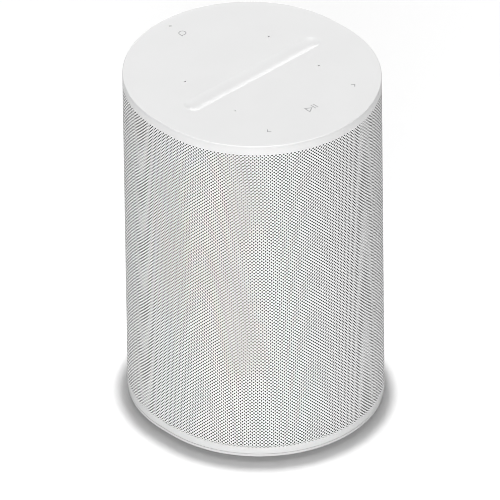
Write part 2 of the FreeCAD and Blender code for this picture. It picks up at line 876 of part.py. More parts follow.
def make_woofer():
    yoke = turned(
        "woofer_yoke",
        [
            ("vent", "0"),
            ("yoke_radius", "0"),
            ("yoke_radius", "yoke_plate"),
            ("pole", "yoke_plate"),
            ("pole", "gap_top"),
            ("vent", "gap_top"),
        ],
    )
    magnet = ring("woofer_magnet", "magnet_inside", "magnet_outside", "yoke_plate", "magnet_top")
    plate = ring("woofer_top_plate", "plate_inside", "plate_outside", "magnet_top", "gap_top")
    basket = turned(
        "woofer_basket",
        [
            ("basket_neck", "gap_top"),
            ("basket_seat", "gap_top"),
            ("basket_waist", "flange_low"),
            ("basket_outside", "flange_low"),
            ("basket_outside", "flange_top"),
            ("basket_waist - basket_wall", "flange_top"),
            ("basket_seat - basket_wall", "gap_top + basket_wall"),
            ("basket_neck", "gap_top + basket_wall"),
        ],
    )
    windows = plane_sketch(basket, offset="gap_top + basket_wall + 1")
    circle(windows, "window", "window_place", "0")
    window = pocket(basket, windows, "flange_low - gap_top - basket_wall - 2", upward=True)
    doc.recompute()
    pattern = basket.newObject("PartDesign::PolarPattern", "basket_windows")
    pattern.Originals = [window]
    axis = [f for f in basket.Origin.OriginFeatures if f.Role == "Z_Axis"][0]
    pattern.Axis = (axis, [""])
    pattern.Angle = 360
    pattern.setExpression("Occurrences", "dims.spoke_count")
    basket.Tip = pattern
    holes = plane_sketch(basket, offset="flange_top")
    half = "%.3f" % (number("woofer_screw_circle") / math.sqrt(2.0))
    screw_spots = [(x, y) for x in (half, "- " + half) for y in (half, "- " + half)]
    for x, y in screw_spots:
        circle(holes, "small_shank", x, y)
    pocket(basket, holes, "flange_top - flange_low + 1")
    gasket = ring("woofer_gasket", "woofer_hole", "basket_outside", "driver_depth", "flange_low")
    gasket_holes = plane_sketch(gasket, offset="driver_depth")
    for x, y in screw_spots:
        circle(gasket_holes, "small_shank", x, y)
    pocket(gasket, gasket_holes, "seal", upward=True)
    coil = turned(
        "woofer_voice_coil",
        [
            ("former_inside", "former_low"),
            ("former_outside", "former_low"),
            ("former_outside", "winding_low"),
            ("winding", "winding_low"),
            ("winding", "winding_top"),
            ("former_outside", "winding_top"),
            ("former_outside", "former_top"),
            ("former_inside", "former_top"),
        ],
    )
    cone = turned(
        "woofer_cone",
        [
            ("former_outside", "cone_low"),
            ("former_outside + paper", "cone_low"),
            ("cone_outside", "flange_top - paper"),
            ("cone_outside", "flange_top"),
            ("cone_outside - 1.2", "flange_top"),
            ("former_outside", "cone_low + 1.4"),
        ],
    )
    # spider: a foot on the basket and a corrugated web in to the former
    web = [("former_outside", "spider_height")]
    ridge_count = 4
    ridge = (number("spider_foot") - 3.0 - number("former_outside")) / (2 * ridge_count)
    for i in range(1, 2 * ridge_count):
        lift = "1.2" if i % 2 else "0"
        web.append(("former_outside + %.3f" % (ridge * i), "spider_height + " + lift))
    over = [(x, z + " + 0.6") for x, z in reversed(web)]
    spider = turned(
        "woofer_spider",
        web
        + [
            ("spider_foot - 3", "gap_top + basket_wall"),
            ("spider_foot", "gap_top + basket_wall"),
            ("spider_foot", "spider_height + 0.6"),
            ("spider_foot - 3", "spider_height + 0.6"),
        ]
        + over,
    )
    for body in (yoke, magnet, plate, basket, gasket, coil, cone, spider):
        set_driver(body)
    # dust cap: the top of a thin ball
    outer = sphere("cap_outer", "cap_round", "0", "0", "cap_low + cap_rise - cap_round")
    inner = sphere("cap_inner", "cap_round - paper", "0", "0", "cap_low + cap_rise - cap_round")
    above = cylinder("cap_above", "magnet_inside", "10", "0", "0", "cap_low")
    cap = common("woofer_dust_cap", cut("cap_skin", outer, inner), above)
    set_driver(keep(cap, "woofer_dust_cap"))
    # surround: half a roll between two flat lips
    tori = []
    for label, radius in (("roll_out", "roll_outer"), ("roll_in", "roll_inner")):
        torus = doc.addObject("Part::Torus", label)
        torus.setExpression("Radius1", "dims.roll")
        torus.setExpression("Radius2", bound(radius))
        tori.append(place(torus, "0", "0", "flange_top"))
    roll_skin = cut("roll_skin", tori[0], tori[1])
    above = cylinder("roll_above", "reach", "10", "0", "0", "flange_top")
    roll = common("roll_half", roll_skin, above)
    lips = []
    for label, inside, outside in (
        ("lip_in", "cone_outside - 1.2", "roll - roll_inner"),
        ("lip_out", "roll + roll_inner", "basket_outside - 1"),
    ):
        rim = cylinder(label + "_rim", outside, "roll_lip", "0", "0", "flange_top")
        bore = cylinder(label + "_bore", inside, "roll_lip", "0", "0", "flange_top")
        lips.append(cut(label, rim, bore))
    solid = fuse("surround_solid", [roll] + lips)
    half = number("woofer_screw_circle") / math.sqrt(2.0)
    bores = []
    for i, (x, y) in enumerate(((half, half), (half, -half), (-half, half), (-half, -half))):
        bore = doc.addObject("Part::Cylinder", "surround_bore_%d" % i)
        bore.setExpression("Radius", "dims.small_head + 0.2")
        bore.Height = 10
        bore.Placement = Placement(Vector(x, y, number("flange_top") - 1), Rotation())
        bores.append(bore)
    surround = cut("woofer_surround", solid, fuse("surround_bores", bores))
    set_driver(keep(surround, "woofer_surround"))


# ------------------------------------------------------------------- tweeters
def make_tweeters():
    for side, frame in tweeter_frames():
        gasket = ring(
            side + "_tweeter_gasket",
            "tweeter_hole",
            "waveguide_outside - 1",
            "tweeter_depth",
            "tweeter_depth + tweeter_seal",
        )
        guide = turned(
            side + "_tweeter_waveguide",
            [
                ("throat", "tweeter_depth + tweeter_seal"),
                ("waveguide_outside", "tweeter_depth + tweeter_seal"),
                ("waveguide_outside", "waveguide_edge"),
                ("mouth + 1", "waveguide_lip"),
                ("mouth - 2", "waveguide_lip - 0.8"),
                ("throat + 2.6", "waveguide_lip - 2.2"),
                ("throat", "waveguide_lip - 3.4"),
            ],
        )
        motor = turned(
            side + "_tweeter_motor",
            [
                ("0", "motor_low"),
                ("motor_radius", "motor_low"),
                ("motor_radius", "tweeter_depth + tweeter_seal"),
                ("motor_recess", "tweeter_depth + tweeter_seal"),
                ("motor_recess", "motor_floor"),
                ("0", "motor_floor"),
            ],
        )
        holes = plane_sketch(guide, offset="tweeter_depth + tweeter_seal")
        gasket_holes = plane_sketch(gasket, offset="tweeter_depth")
        for spot in tweeter_spots():
            x = "%.3f" % spot.x if spot.x > 0 else "- %.3f" % -spot.x
            y = "%.3f" % spot.y if spot.y > 0 else "- %.3f" % -spot.y
            circle(holes, "small_shank", x, y)
            circle(gasket_holes, "small_shank", x, y)
        pocket(guide, holes, "10", upward=True)
        pocket(gasket, gasket_holes, "10", upward=True)
        seats = plane_sketch(guide, offset="waveguide_edge - 1")
        for spot in tweeter_spots():
            x = "%.3f" % spot.x if spot.x > 0 else "- %.3f" % -spot.x
            y = "%.3f" % spot.y if spot.y > 0 else "- %.3f" % -spot.y
            circle(seats, "small_head + 0.2", x, y)
        pocket(guide, seats, "10", upward=True)
        for body in (gasket, guide, motor):
            body.Placement = frame
        # dome: the top of a thin ball on its short voice coil
        centre = "dome_low - %.3f" % math.sqrt(number("dome_round") ** 2 - number("dome_radius") ** 2)
        outer = sphere(side + "_dome_outer", "dome_round", "0", "0", centre)
        inner = sphere(side + "_dome_inner", "dome_round - dome_skin", "0", "0", centre)
        above = cylinder(side + "_dome_above", "dome_radius", "10", "0", "0", "dome_low")
        skin = common(side + "_dome_skin", cut(side + "_dome_ball", outer, inner), above)
        depth = "dome_low + 0.4 - dome_coil_low"
        rim = cylinder(side + "_dome_rim", "dome_radius", depth, "0", "0", "dome_coil_low")
        bore = cylinder(side + "_dome_bore", "dome_coil", "reach", "0", "0", "0")
        coil = cut(side + "_dome_coil", rim, bore)
        dome = keep(fuse(side + "_tweeter_dome", [skin, coil]), side + "_tweeter_dome")
        dome.Placement = frame


# ----------------------------------------------------------------- rear panel
def set_panel(thing):
    return place(thing, "0", "panel_back", "panel_height", REARWARD)


def make_rear_panel():
    panel = new_body("rear_panel")
    flange = plane_sketch(panel)
    oval(flange, "panel_flange_radius", "panel_run")
    pad(panel, flange, "panel_flange")
    face = plane_sketch(panel, offset="panel_flange")
    oval(face, "panel_radius", "panel_run")
    pad(panel, face, "panel_thick - panel_flange")
    posts = plane_sketch(panel, offset="- io_face")
    holes = plane_sketch(panel, offset="- io_face")
    for x, y in spots("io_post_across", "- io_post_up", "io_post_down"):
        circle(posts, "small_post - 0.6", x, y)
        circle(holes, "small_shank", x, y)
    pad(panel, posts, "io_face")
    pocket(panel, holes, "small_screw_length - board", upward=True)
    openings = plane_sketch(panel, offset="panel_thick")
    circle(openings, "button_hole", "0", "- button_up")
    oval(openings, "switch_slot_half", "switch_slot_run - switch_slot_half", "x", "0", "- switch_up")
    oval(openings, "usb_round", "usb_run", "x", "0", "usb_down")
    oval(openings, "inlet_round", "inlet_run", "x", "0", "inlet_down")
    pocket(panel, openings, "reach")
    set_panel(panel)

    button = new_body("bluetooth_button")
    stem = plane_sketch(button, offset="- button_flange_thick")
    circle(stem, "button_flange", "0", "- button_up")
    pad(button, stem, "button_flange_thick")
    crown = plane_sketch(button)
    circle(crown, "button_radius", "0", "- button_up")
    pad(button, crown, "button_out")
    set_panel(button)

    slider = new_body("mic_switch")
    plate = plane_sketch(slider, offset="- slider_gap - slider_plate")
    outline(
        plate,
        [
            (x + "slider_half", y + "slider_tall")
            for x, y in (
                ("- knob_rest - ", "- switch_up - "),
                ("- knob_rest + ", "- switch_up - "),
                ("- knob_rest + ", "- switch_up + "),
                ("- knob_rest - ", "- switch_up + "),
            )
        ],
    )
    pad(slider, plate, "slider_plate")
    knob = plane_sketch(slider, offset="- slider_gap")
    oval(knob, "knob_tall", "knob_half - knob_tall", "x", "- knob_rest", "- switch_up")
    pad(slider, knob, "slider_gap + knob_out")
    set_panel(slider)

    usb = new_body("usb_c_receptacle")
    shell = plane_sketch(usb, offset="- usb_back")
    oval(shell, "usb_round", "usb_run", "x", "0", "usb_down")
    pad(usb, shell, "usb_back + usb_out")
    mouth = plane_sketch(usb, offset="usb_out")
    oval(mouth, "usb_round - usb_shell", "usb_run", "x", "0", "usb_down")
    pocket(usb, mouth, "usb_depth")
    tongue = plane_sketch(usb, offset="usb_out - usb_depth")
    outline(
        tongue,
        [
            ("- tongue_plate", "usb_down - tongue_thick"),
            ("tongue_plate", "usb_down - tongue_thick"),
            ("tongue_plate", "usb_down + tongue_thick"),
            ("- tongue_plate", "usb_down + tongue_thick"),
        ],
    )
    pad(usb, tongue, "usb_depth - 0.8")
    set_panel(usb)

    inlet = new_body("power_inlet")
    body_sketch = plane_sketch(inlet, offset="- inlet_back")
    oval(body_sketch, "inlet_round", "inlet_run", "x", "0", "inlet_down")
    pad(inlet, body_sketch, "inlet_back + inlet_out")
    socket = plane_sketch(inlet, offset="inlet_out")
    oval(socket, "socket_round", "inlet_run", "x", "0", "inlet_down")
    pocket(inlet, socket, "inlet_out + socket_floor")
    pin_holes = plane_sketch(inlet, offset="inlet_out")
    circle(pin_holes, "blade", "blade_across", "inlet_down")
    circle(pin_holes, "blade", "- blade_across", "inlet_down")
    pocket(inlet, pin_holes, "reach")
    set_panel(inlet)

    pins = [
        cylinder(
            "inlet_pin_%d" % i,
            "blade",
            "blade_back + blade_out",
            x,
            "panel_back - blade_back",
            "panel_height - inlet_down",
            REARWARD,
        )
        for i, x in enumerate(("blade_across", "- blade_across"))
    ]
    group("inlet_pins", pins)
    board = new_body("io_board")
    board_sketch = plane_sketch(board, offset="- io_face - board")
    outline(
        board_sketch,
        [
            ("- io_half", "- io_up"),
            ("io_half", "- io_up"),
            ("io_half", "io_down"),
            ("- io_half", "io_down"),
        ],
    )
    pad(board, board_sketch, "board")
    board_holes = plane_sketch(board, offset="- io_face")
    for x, y in spots("io_post_across", "- io_post_up", "io_post_down"):
        circle(board_holes, "small_shank", x, y)
    pocket(board, board_holes, "board")
    set_panel(board)

    tact = fuse(
        "tact_switch",
        [
            box(
                "tact_case",
                ("- tact_half", "- button_up - tact_half", "- io_face"),
                ("tact_half", "- button_up + tact_half", "- io_face + tact_height"),
            ),
            cylinder("tact_plunger", "plunger", "plunger_height", "0", "- button_up", "- io_face"),
        ],
    )
    set_panel(keep(tact, "tact_switch"))
    slide = box(
        "slide_switch_case",
        ("- slide_half", "- switch_up - slide_tall", "- io_face"),
        ("slide_half", "- switch_up + slide_tall", "- slide_top"),
    )
    keep(slide, "slide_switch_case")
    slide.setExpression("Placement.Base.y", bound("panel_back - io_face"))
    slide.setExpression("Placement.Base.z", bound("panel_height + switch_up + slide_tall"))
    slide.Placement = Placement(Vector(), REARWARD)


# --------------------------------------------------------------------- boards
def wall_board(label, low, high, places):
    solid = box(
        label + "_blank",
        ("- board_half", "board_face", low),
        ("board_half", "board_face + board", high),
    )
    drills = [
        cylinder("%s_hole_%d" % (label, i), "small_shank", "10", x, "board_face - 2", z, REARWARD)
        for i, (x, z) in enumerate(places)
    ]
    keep(cut(label, solid, fuse(label + "_holes", drills)), label)


def make_boards():
    corners = board_spots()
    wall_board("main_board", "main_low", "main_top", [c for c in corners if "main" in c[1]])
    wall_board("power_board", "supply_low", "supply_top", [c for c in corners if "supply" in c[1]])
    face = "board_face + board"
    # processor under its metal can
    can_shell = box(
        "can_shell",
        ("- can_left", face, "can_low"),
        ("can_right", face + " + can_height", "can_top"),
    )
    can_inside = box(
        "can_inside",
        ("- can_left + can_skin", face, "can_low + can_skin"),
        ("can_right - can_skin", face + " + can_height - can_skin", "can_top - can_skin"),
    )
    keep(cut("shield_can", can_shell, can_inside), "shield_can")
    # amplifier with a finned heat sink
    chip = box(
        "amplifier_chip",
        ("- chip_half", face, "sink_middle - chip_half"),
        ("chip_half", face + " + chip_height", "sink_middle + chip_half"),
    )
    keep(chip, "amplifier_chip")
    low, high = "sink_middle - sink_tall", "sink_middle + sink_tall"
    plate = box(
        "sink_plate",
        ("- sink_half", face + " + chip_height", low),
        ("sink_half", face + " + sink_plate", high),
    )
    fins = []
    fin_count = int(number("fin_count"))
    for i in range(fin_count):
        offset = (i - (fin_count - 1) / 2) * number("fin_step")
        middle = "%.2f" % offset if offset > 0 else "- %.2f" % -offset
        half = number("fin") / 2
        fins.append(
            box(
                "sink_fin_%d" % i,
                (middle + " - %.2f" % half, face + " + sink_plate", low),
                (middle + " + %.2f" % half, face + " + sink_height", high),
            )
        )
    keep(fuse("heat_sink", [plate] + fins), "heat_sink")
    # mains side
    core = box(
        "transformer_core",
        ("- core_left", face, "core_low"),
        ("- core_right", face + " + core_height", "core_top"),
    )
    winding = box(
        "transformer_winding",
        ("- core_left + winding_inset", face, "core_low - winding_over"),
        ("- core_right - winding_inset", face + " + winding_height", "core_top + winding_over"),
    )
    keep(fuse("transformer", [core, winding]), "transformer")
    cans = [
        cylinder("capacitor_%d" % i, radius, length, x, face, z, REARWARD)
        for i, (x, z, radius, length) in enumerate(
            (("26", "56", "8", "19"), ("8", "62", "5", "13"), ("- 32", "34", "5", "15"))
        )
    ]
    group("capacitors", cans)
    choke = doc.addObject("Part::Torus", "input_choke")
    choke.setExpression("Radius1", "dims.choke_ring")
    choke.setExpression("Radius2", "dims.choke_wire")
    place(choke, "choke_across", face + " + choke_wire", "choke_level", REARWARD)
    keep(choke, "input_choke")
    # ribbon between the input board and the main board
    ribbon = box(
        "io_ribbon",
        ("- ribbon_half", face, "ribbon_low"),
        ("ribbon_half", "panel_back - io_face - board", "ribbon_low + ribbon_thick"),
    )
    keep(ribbon, "io_ribbon")
    wall = "split + seal + back_wall"
    antennas = [
        box(
            "antenna_%d" % i,
            (low, wall, "antenna_low"),
            (high, wall + " + antenna_thick", "antenna_low + antenna_tall"),
        )
        for i, (low, high) in enumerate(
            (("antenna_inner", "antenna_outer"), ("- antenna_outer", "- antenna_inner"))
        )
    ]
    group("wifi_antennas", antennas)


def make_touch_board():
    board = new_body("touch_board")
    sketch = plane_sketch(board, offset="touch_low")
    oval(sketch, "touch_radius", "case_flat")
    pad(board, sketch, "board")
    tongue = plane_sketch(board, offset="touch_low")
    outline(
        tongue,
        [
            ("- tongue_half", "touch_radius - 4"),
            ("tongue_half", "touch_radius - 4"),
            ("tongue_half", "tongue_back"),
            ("- tongue_half", "tongue_back"),
        ],
    )
    pad(board, tongue, "board")
    holes = plane_sketch(board, offset="touch_low")
    for x, y in spots("touch_screw_across", "touch_screw_back", "- touch_screw_back"):
        circle(holes, "small_shank", x, y)
    pocket(board, holes, "board", upward=True)
    face = "touch_low + board"
    mics = []
    seals = []
    for x, y in spots("mic_across", "mic_back", "- mic_back"):
        mic_name = "microphone_%d" % len(mics)
        mics.append(
            box(mic_name, (x + " - 1.7", y + " - 1.3", face), (x + " + 1.7", y + " + 1.3", face + " + 1"))
        )
        height = "cap_plate_low - touch_low - board - 1"
        sleeve = cylinder(mic_name + "_sleeve", "2.4", height, x, y, face + " + 1")
        bore = cylinder(mic_name + "_bore", "0.6", height, x, y, face + " + 1")
        seals.append(cut(mic_name + "_seal", sleeve, bore))
    group("microphones", mics)
    group("microphone_seals", seals)
    keep(
        box("status_led", ("- 0.8", "led_back - 0.8", face), ("0.8", "led_back + 0.8", face + " + 0.7")),
        "status_led",
    )
    height = "led_pipe_top - touch_low - board - 0.7"
    pipe = cylinder("led_light_pipe", "led_pipe", height, "0", "led_back", face + " + 0.7")
    keep(pipe, "led_light_pipe")
    # flat cable from the touch board down to the main board
    run = [
        box("flex_drop", ("- 6", "board_face + 4", "150"), ("6", "board_face + 4.4", "touch_low")),
        box("flex_foot", ("- 6", "board_face + board", "150"), ("6", "board_face + 4", "150.4")),
    ]
    keep(fuse("touch_flex_cable", run), "touch_flex_cable")


# --------------------------------------------------------------------- inside
def make_leads():
    """Leads from the drivers to the main board, and from the inlet to the power board."""
    leads = []
    for i, x in enumerate(("3", "- 3")):
        rise = cylinder("woofer_rise_%d" % i, "1", "4.4", x, "- 25.5", "99.6")
        bend = sphere("woofer_bend_%d" % i, "1", x, "- 25.5", "104")
        run = cylinder("woofer_run_%d" % i, "1", "board_face + 25.5", x, "- 25.5", "104", REARWARD)
        leads.append(fuse("woofer_lead_%d" % i, [rise, bend, run]))
    for i, x in enumerate(("20", "- 20")):
        leads.append(
            cylinder("tweeter_lead_%d" % i, "1", "board_face + 15.2", x, "- 15.2", "tweeter_height", REARWARD)
        )
    for i, x in enumerate(("blade_across", "- blade_across")):
        leads.append(
            cylinder(
                "inlet_lead_%d" % i,
                "blade",
                "panel_back - blade_back - board_face - board",
                x,
                "board_face + board",
                "panel_height - inlet_down",
                REARWARD,
            )
        )
    group("internal_leads", leads)


def make_foam():
    blank = box("foam_blank", ("- 40", "4", "26"), ("40", "17", "100"))
    rounding = doc.addObject("Part::Fillet", "damping_foam")
    rounding.Base = blank
    doc.recompute()
    rounding.Edges = [(i + 1, 3.0, 3.0) for i in range(len(blank.Shape.Edges))]
    keep(rounding, "damping_foam")


def make_screws():
    up = Rotation()
    case = [
        screw("base_screw_%d" % i, "case_shank", "case_head", "case_head_depth", "case_screw_length",
              x, y, "base_screw_seat", up)
        for i, (x, y) in enumerate(base_screw_spots())
    ]
    case += [
        screw("top_screw_%d" % i, "case_shank", "case_head", "case_head_depth", "case_screw_length",
              x, y, "cabinet_top - cabinet_floor", up)
        for i, (x, y) in enumerate(top_spots())
    ]
    group("case_screws", case)
    seam = [
        screw("seam_screw_%d" % i, "case_shank", "seam_head", "seam_head_depth", "12",
              x, "split + seal + back_wall + lug", z, FORWARD)
        for i, (x, z) in enumerate(seam_spots())
    ]
    group("seam_screws", seam)
    small = [
        screw("board_screw_%d" % i, "small_shank", "small_head", "small_head_depth", "small_screw_length",
              x, "board_face + board", z, FORWARD)
        for i, (x, z) in enumerate(board_spots())
    ]
    small += [
        screw("touch_screw_%d%d" % (i, j), "small_shank", "small_head", "small_head_depth",
              "small_screw_length", x, y, "touch_low", up)
        for i, x in enumerate(("touch_screw_across", "- touch_screw_across"))
        for j, y in enumerate(("touch_screw_back", "- touch_screw_back"))
    ]
    small += [
        screw("io_screw_%d%d" % (i, j), "small_shank", "small_head", "small_head_depth",
              "small_screw_length", x, "panel_back - io_face - board", z, REARWARD)
        for i, x in enumerate(("io_post_across", "- io_post_across"))
        for j, z in enumerate(("panel_height + io_post_up", "panel_height - io_post_down"))
    ]
    group("board_screws", small)
    woofer = [
        screw("woofer_screw_%d" % i, "small_shank", "small_head", "small_head_depth", "small_screw_length",
              x, "- woofer_face - flange_top + driver_depth", z, REARWARD)
        for i, (x, z) in enumerate(woofer_screw_spots())
    ]
    group("woofer_screws", woofer)
    tweeter = []
    for side, frame in tweeter_frames():
        for i, spot in enumerate(tweeter_spots()):
            one = screw("%s_tweeter_screw_%d" % (side, i), "small_shank", "small_head", "small_head_depth",
                        "small_screw_length", "0", "0", "0", up)
            for axis in "xyz":
                one.setExpression("Placement.Base." + axis, None)
            seat = spot + Vector(0, 0, number("waveguide_edge - 1"))
            one.Placement = frame.multiply(Placement(seat, Rotation(Vector(1, 0, 0), 180)))
            tweeter.append(one)
    group("tweeter_screws", tweeter)


make_top_cap()
make_sleeves()
make_base()
make_cabinet()
make_rear_panel()
make_woofer()
make_tweeters()
make_boards()
make_touch_board()
make_leads()
make_foam()
make_screws()
doc.recompute()

# ------------------------------------------------------------- check and write
for thing in doc.Objects:
    if "Invalid" in thing.State or "Error" in thing.State:
        raise RuntimeError("%s: %s" % (thing.Label, thing.State))
for node in nodes:
    if node.Shape.isNull() or not node.Shape.isValid() or not node.Shape.Solids:
        raise RuntimeError("%s has no valid solid" % node.Label)

os.makedirs("parts", exist_ok=True)
for node in nodes:
    node.Shape.exportStep(os.path.join("parts", node.Label + ".step"))
    extent = node.Shape.BoundBox
    print(
        "%-24s %2d solid(s) %10.1f mm3  x %.2f..%.2f y %.2f..%.2f z %.2f..%.2f"
        % (
            node.Label, len(node.Shape.Solids), node.Shape.Volume,
            extent.XMin, extent.XMax, extent.YMin, extent.YMax, extent.ZMin, extent.ZMax,
        )
    )
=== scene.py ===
import math

import bmesh
import bpy
import numpy as np
from mathutils import Matrix, Vector


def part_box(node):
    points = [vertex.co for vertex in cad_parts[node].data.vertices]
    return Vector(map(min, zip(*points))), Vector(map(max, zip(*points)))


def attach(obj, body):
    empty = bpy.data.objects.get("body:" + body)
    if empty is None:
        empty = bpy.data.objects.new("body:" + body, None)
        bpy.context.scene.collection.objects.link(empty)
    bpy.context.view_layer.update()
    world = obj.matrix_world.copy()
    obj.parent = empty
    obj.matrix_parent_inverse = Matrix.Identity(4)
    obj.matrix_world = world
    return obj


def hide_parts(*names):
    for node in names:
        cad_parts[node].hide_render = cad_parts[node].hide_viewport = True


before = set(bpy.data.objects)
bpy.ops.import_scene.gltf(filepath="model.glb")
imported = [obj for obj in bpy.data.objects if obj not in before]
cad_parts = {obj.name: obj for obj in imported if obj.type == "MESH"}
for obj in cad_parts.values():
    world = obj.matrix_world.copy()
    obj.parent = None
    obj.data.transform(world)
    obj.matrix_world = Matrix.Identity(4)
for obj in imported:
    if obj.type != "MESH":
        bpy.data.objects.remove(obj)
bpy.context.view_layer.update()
print("frame loaded with", len(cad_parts), "nodes")

mm = 0.001

# the case's own sizes come from the frame
sleeveLow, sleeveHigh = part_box("grille_shell")
capLow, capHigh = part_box("top_cap")
baseLow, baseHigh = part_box("base_cover")
panelLow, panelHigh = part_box("rear_panel")
caseRadius = sleeveHigh.x
caseRun = capHigh.y - capHigh.x          # half the straight run of each side
caseTop = capHigh.z
baseLine = baseLow.z


class Value:
    # a shader socket that can be added, subtracted and multiplied in plain Python
    def __init__(self, finish, socket):
        self.finish = finish
        self.socket = socket

    def maths(self, operation, first, second=0.0, third=0.0):
        return self.finish.node(
            "ShaderNodeMath", {"operation": operation}, {0: first, 1: second, 2: third}
        )

    def __add__(self, other):
        return self.maths("ADD", self, other)

    def __radd__(self, other):
        return self.maths("ADD", other, self)

    def __rsub__(self, other):
        return self.maths("SUBTRACT", other, self)

    def __mul__(self, other):
        return self.maths("MULTIPLY", self, other)

    def sine(self):
        return self.maths("SINE", self)

    def ramp(self, low, high):
        # 0 below low, 1 above high, with a soft slope between
        return self.finish.node(
            "ShaderNodeMapRange",
            {"interpolation_type": "SMOOTHSTEP"},
            {"Value": self, "From Min": low, "From Max": high},
        )


class Finish:
    # one material: a Principled shader and whatever feeds it
    def __init__(self, name, **settings):
        self.material = bpy.data.materials.new(name)
        self.material.use_nodes = True
        self.tree = self.material.node_tree
        self.tree.nodes.clear()
        self.shader = self.tree.nodes.new("ShaderNodeBsdfPrincipled")
        output = self.tree.nodes.new("ShaderNodeOutputMaterial")
        self.tree.links.new(self.shader.outputs[0], output.inputs[0])
        for socket, value in settings.items():
            self.shader.inputs[socket.replace("_", " ")].default_value = value

    def node(self, kind, settings=None, inputs=None, output=0):
        made = self.tree.nodes.new(kind)
        for key, value in (settings or {}).items():
            if key == "stops":
                for element, (position, colour) in zip(made.color_ramp.elements, value):
                    element.position = position
                    element.color = colour
            else:
                setattr(made, key, value)
        for key, value in (inputs or {}).items():
            if isinstance(value, Value):
                self.tree.links.new(value.socket, made.inputs[key])
            else:
                made.inputs[key].default_value = value
        return Value(self, made.outputs[output])

    def place(self, scale=(1, 1, 1), turn=(0, 0, 0)):
        # a point of the object, stretched and turned
        coordinates = self.node("ShaderNodeTexCoord", output="Object")
        return self.node(
            "ShaderNodeMapping", inputs={"Vector": coordinates, "Scale": scale, "Rotation": turn}
        )

    def axes(self):
        split = self.tree.nodes.new("ShaderNodeSeparateXYZ")
        coordinates = self.node("ShaderNodeTexCoord", output="Object")
        self.tree.links.new(coordinates.socket, split.inputs[0])
        return [Value(self, split.outputs[i]) for i in range(3)]

    def noise(self, size, detail=3.0, stretch=(1, 1, 1)):
        # soft noise whose lumps are about size metres across
        scale = tuple(s / size for s in stretch)
        return self.node(
            "ShaderNodeTexNoise", inputs={"Vector": self.place(scale), "Scale": 1.0, "Detail": detail}
        )

    def blend(self, amount, first, second):
        return self.node(
            "ShaderNodeMix",
            {"data_type": "RGBA"},
            {"Factor": amount, 6: first, 7: second},
            output=2,
        )

    def relief(self, height, distance, strength=1.0):
        bump = self.node(
            "ShaderNodeBump", inputs={"Height": height, "Distance": distance, "Strength": strength}
        )
        self.feed("Normal", bump)

    def feed(self, socket, value):
        self.tree.links.new(value.socket, self.shader.inputs[socket])


def shade(colour, factor):
    return tuple(min(1.0, c * factor) for c in colour[:3]) + (1.0,)


whiteLook = {"colour": (0.735, 0.735, 0.735), "roughness": 0.38, "grain": 0.35 * mm}


def mouldedWhite(name, colour, roughness, grain):
    # satin white plastic: a very fine moulded grain, faint cloudiness and slightly polished patches
    made = Finish(name, IOR=1.47)
    cloud = made.noise(22 * mm, 4)
    speck = made.noise(grain, 2)
    made.feed("Base Color", made.blend(cloud.ramp(0.3, 0.7), shade(colour, 0.985), shade(colour, 1.0)))
    made.feed("Roughness", roughness - 0.04 + cloud * 0.06 + speck * 0.03)
    made.relief(speck, 0.006 * mm, 0.5)
    return made.material


def pitWallShade(name, colour):
    # the inside of each hole, painted dark grey as painted shade inside the hole, with random darker patches
    made = Finish(name, Roughness=0.55)
    dust = made.noise(0.6 * mm, 2)
    made.feed("Base Color", made.blend(dust.ramp(0.35, 0.7), shade(colour, 1.0), shade(colour, 0.8)))
    return made.material


def wovenCloth(name, colour, pitch, roughness=0.85):
    # plain weave: two sets of threads that pass over and under each other; the colour is lighter on the
    # raised threads and darker in the low parts between them, partly thread pattern and partly painted
    # highlight and painted shade
    made = Finish(name, Roughness=roughness)
    x, y, z = made.axes()
    across = (x + y) * (math.tau / pitch)
    along = z * (math.tau / pitch)
    weave = across.sine() * along.sine()
    fuzz = made.noise(pitch * 0.7, 3)
    height = weave * 0.5 + fuzz * 0.4
    made.feed(
        "Base Color", made.blend(height.ramp(-0.2, 0.7), shade(colour, 0.6), shade(colour, 1.35))
    )
    made.relief(height, pitch * 0.2, 0.8)
    return made.material


def mouldedDark(name, colour, roughness, grain):
    # moulded plastic with a spark-eroded grain and lighter rubbed spots
    made = Finish(name, IOR=1.46)
    speck = made.noise(grain, 3)
    cloud = made.noise(grain * 40, 3)
    made.feed(
        "Base Color", made.blend(cloud.ramp(0.35, 0.75), shade(colour, 0.85), shade(colour, 1.25))
    )
    made.feed("Roughness", roughness - 0.06 + speck * 0.12)
    made.relief(speck, grain * 0.15, 0.6)
    return made.material


def softRubber(name, colour, roughness):
    # rubber: matt, with a bloom of paler dust and fine pores
    made = Finish(name, IOR=1.5)
    bloom = made.noise(6 * mm, 5)
    pore = made.noise(0.25 * mm, 2)
    made.feed("Base Color", made.blend(bloom.ramp(0.4, 0.8), shade(colour, 0.9), shade(colour, 1.3)))
    made.feed("Roughness", roughness + bloom * 0.1)
    made.relief(pore, 0.02 * mm, 0.5)
    return made.material


def metalFinish(name, colour, roughness, stretch, pitch=0.15 * mm):
    # worked metal: fine tool marks drawn out along one axis, and a few duller patches
    made = Finish(name, Metallic=1.0)
    marks = made.noise(pitch, 2, stretch)
    patch = made.noise(5 * mm, 3)
    made.feed("Base Color", made.blend(patch.ramp(0.35, 0.8), shade(colour, 1.0), shade(colour, 0.8)))
    made.feed("Roughness", roughness - 0.06 + marks * 0.14 + patch * 0.05)
    made.relief(marks, 0.01 * mm, 0.5)
    return made.material


def woundWire(name, colour, pitch, axis):
    # turns of enamelled wire side by side along one axis; the grooves between the turns are painted darker,
    # as painted shade
    made = Finish(name, Metallic=0.85, Roughness=0.32)
    turns = (made.axes()[axis] * (math.tau / pitch)).sine()
    patina = made.noise(3 * mm, 3)
    tint = made.blend(patina.ramp(0.3, 0.8), shade(colour, 1.0), shade(colour, 0.7))
    made.feed("Base Color", made.blend(turns.ramp(-1.0, 0.2), shade(colour, 0.35), tint))
    made.relief(turns, pitch * 0.3, 0.8)
    return made.material


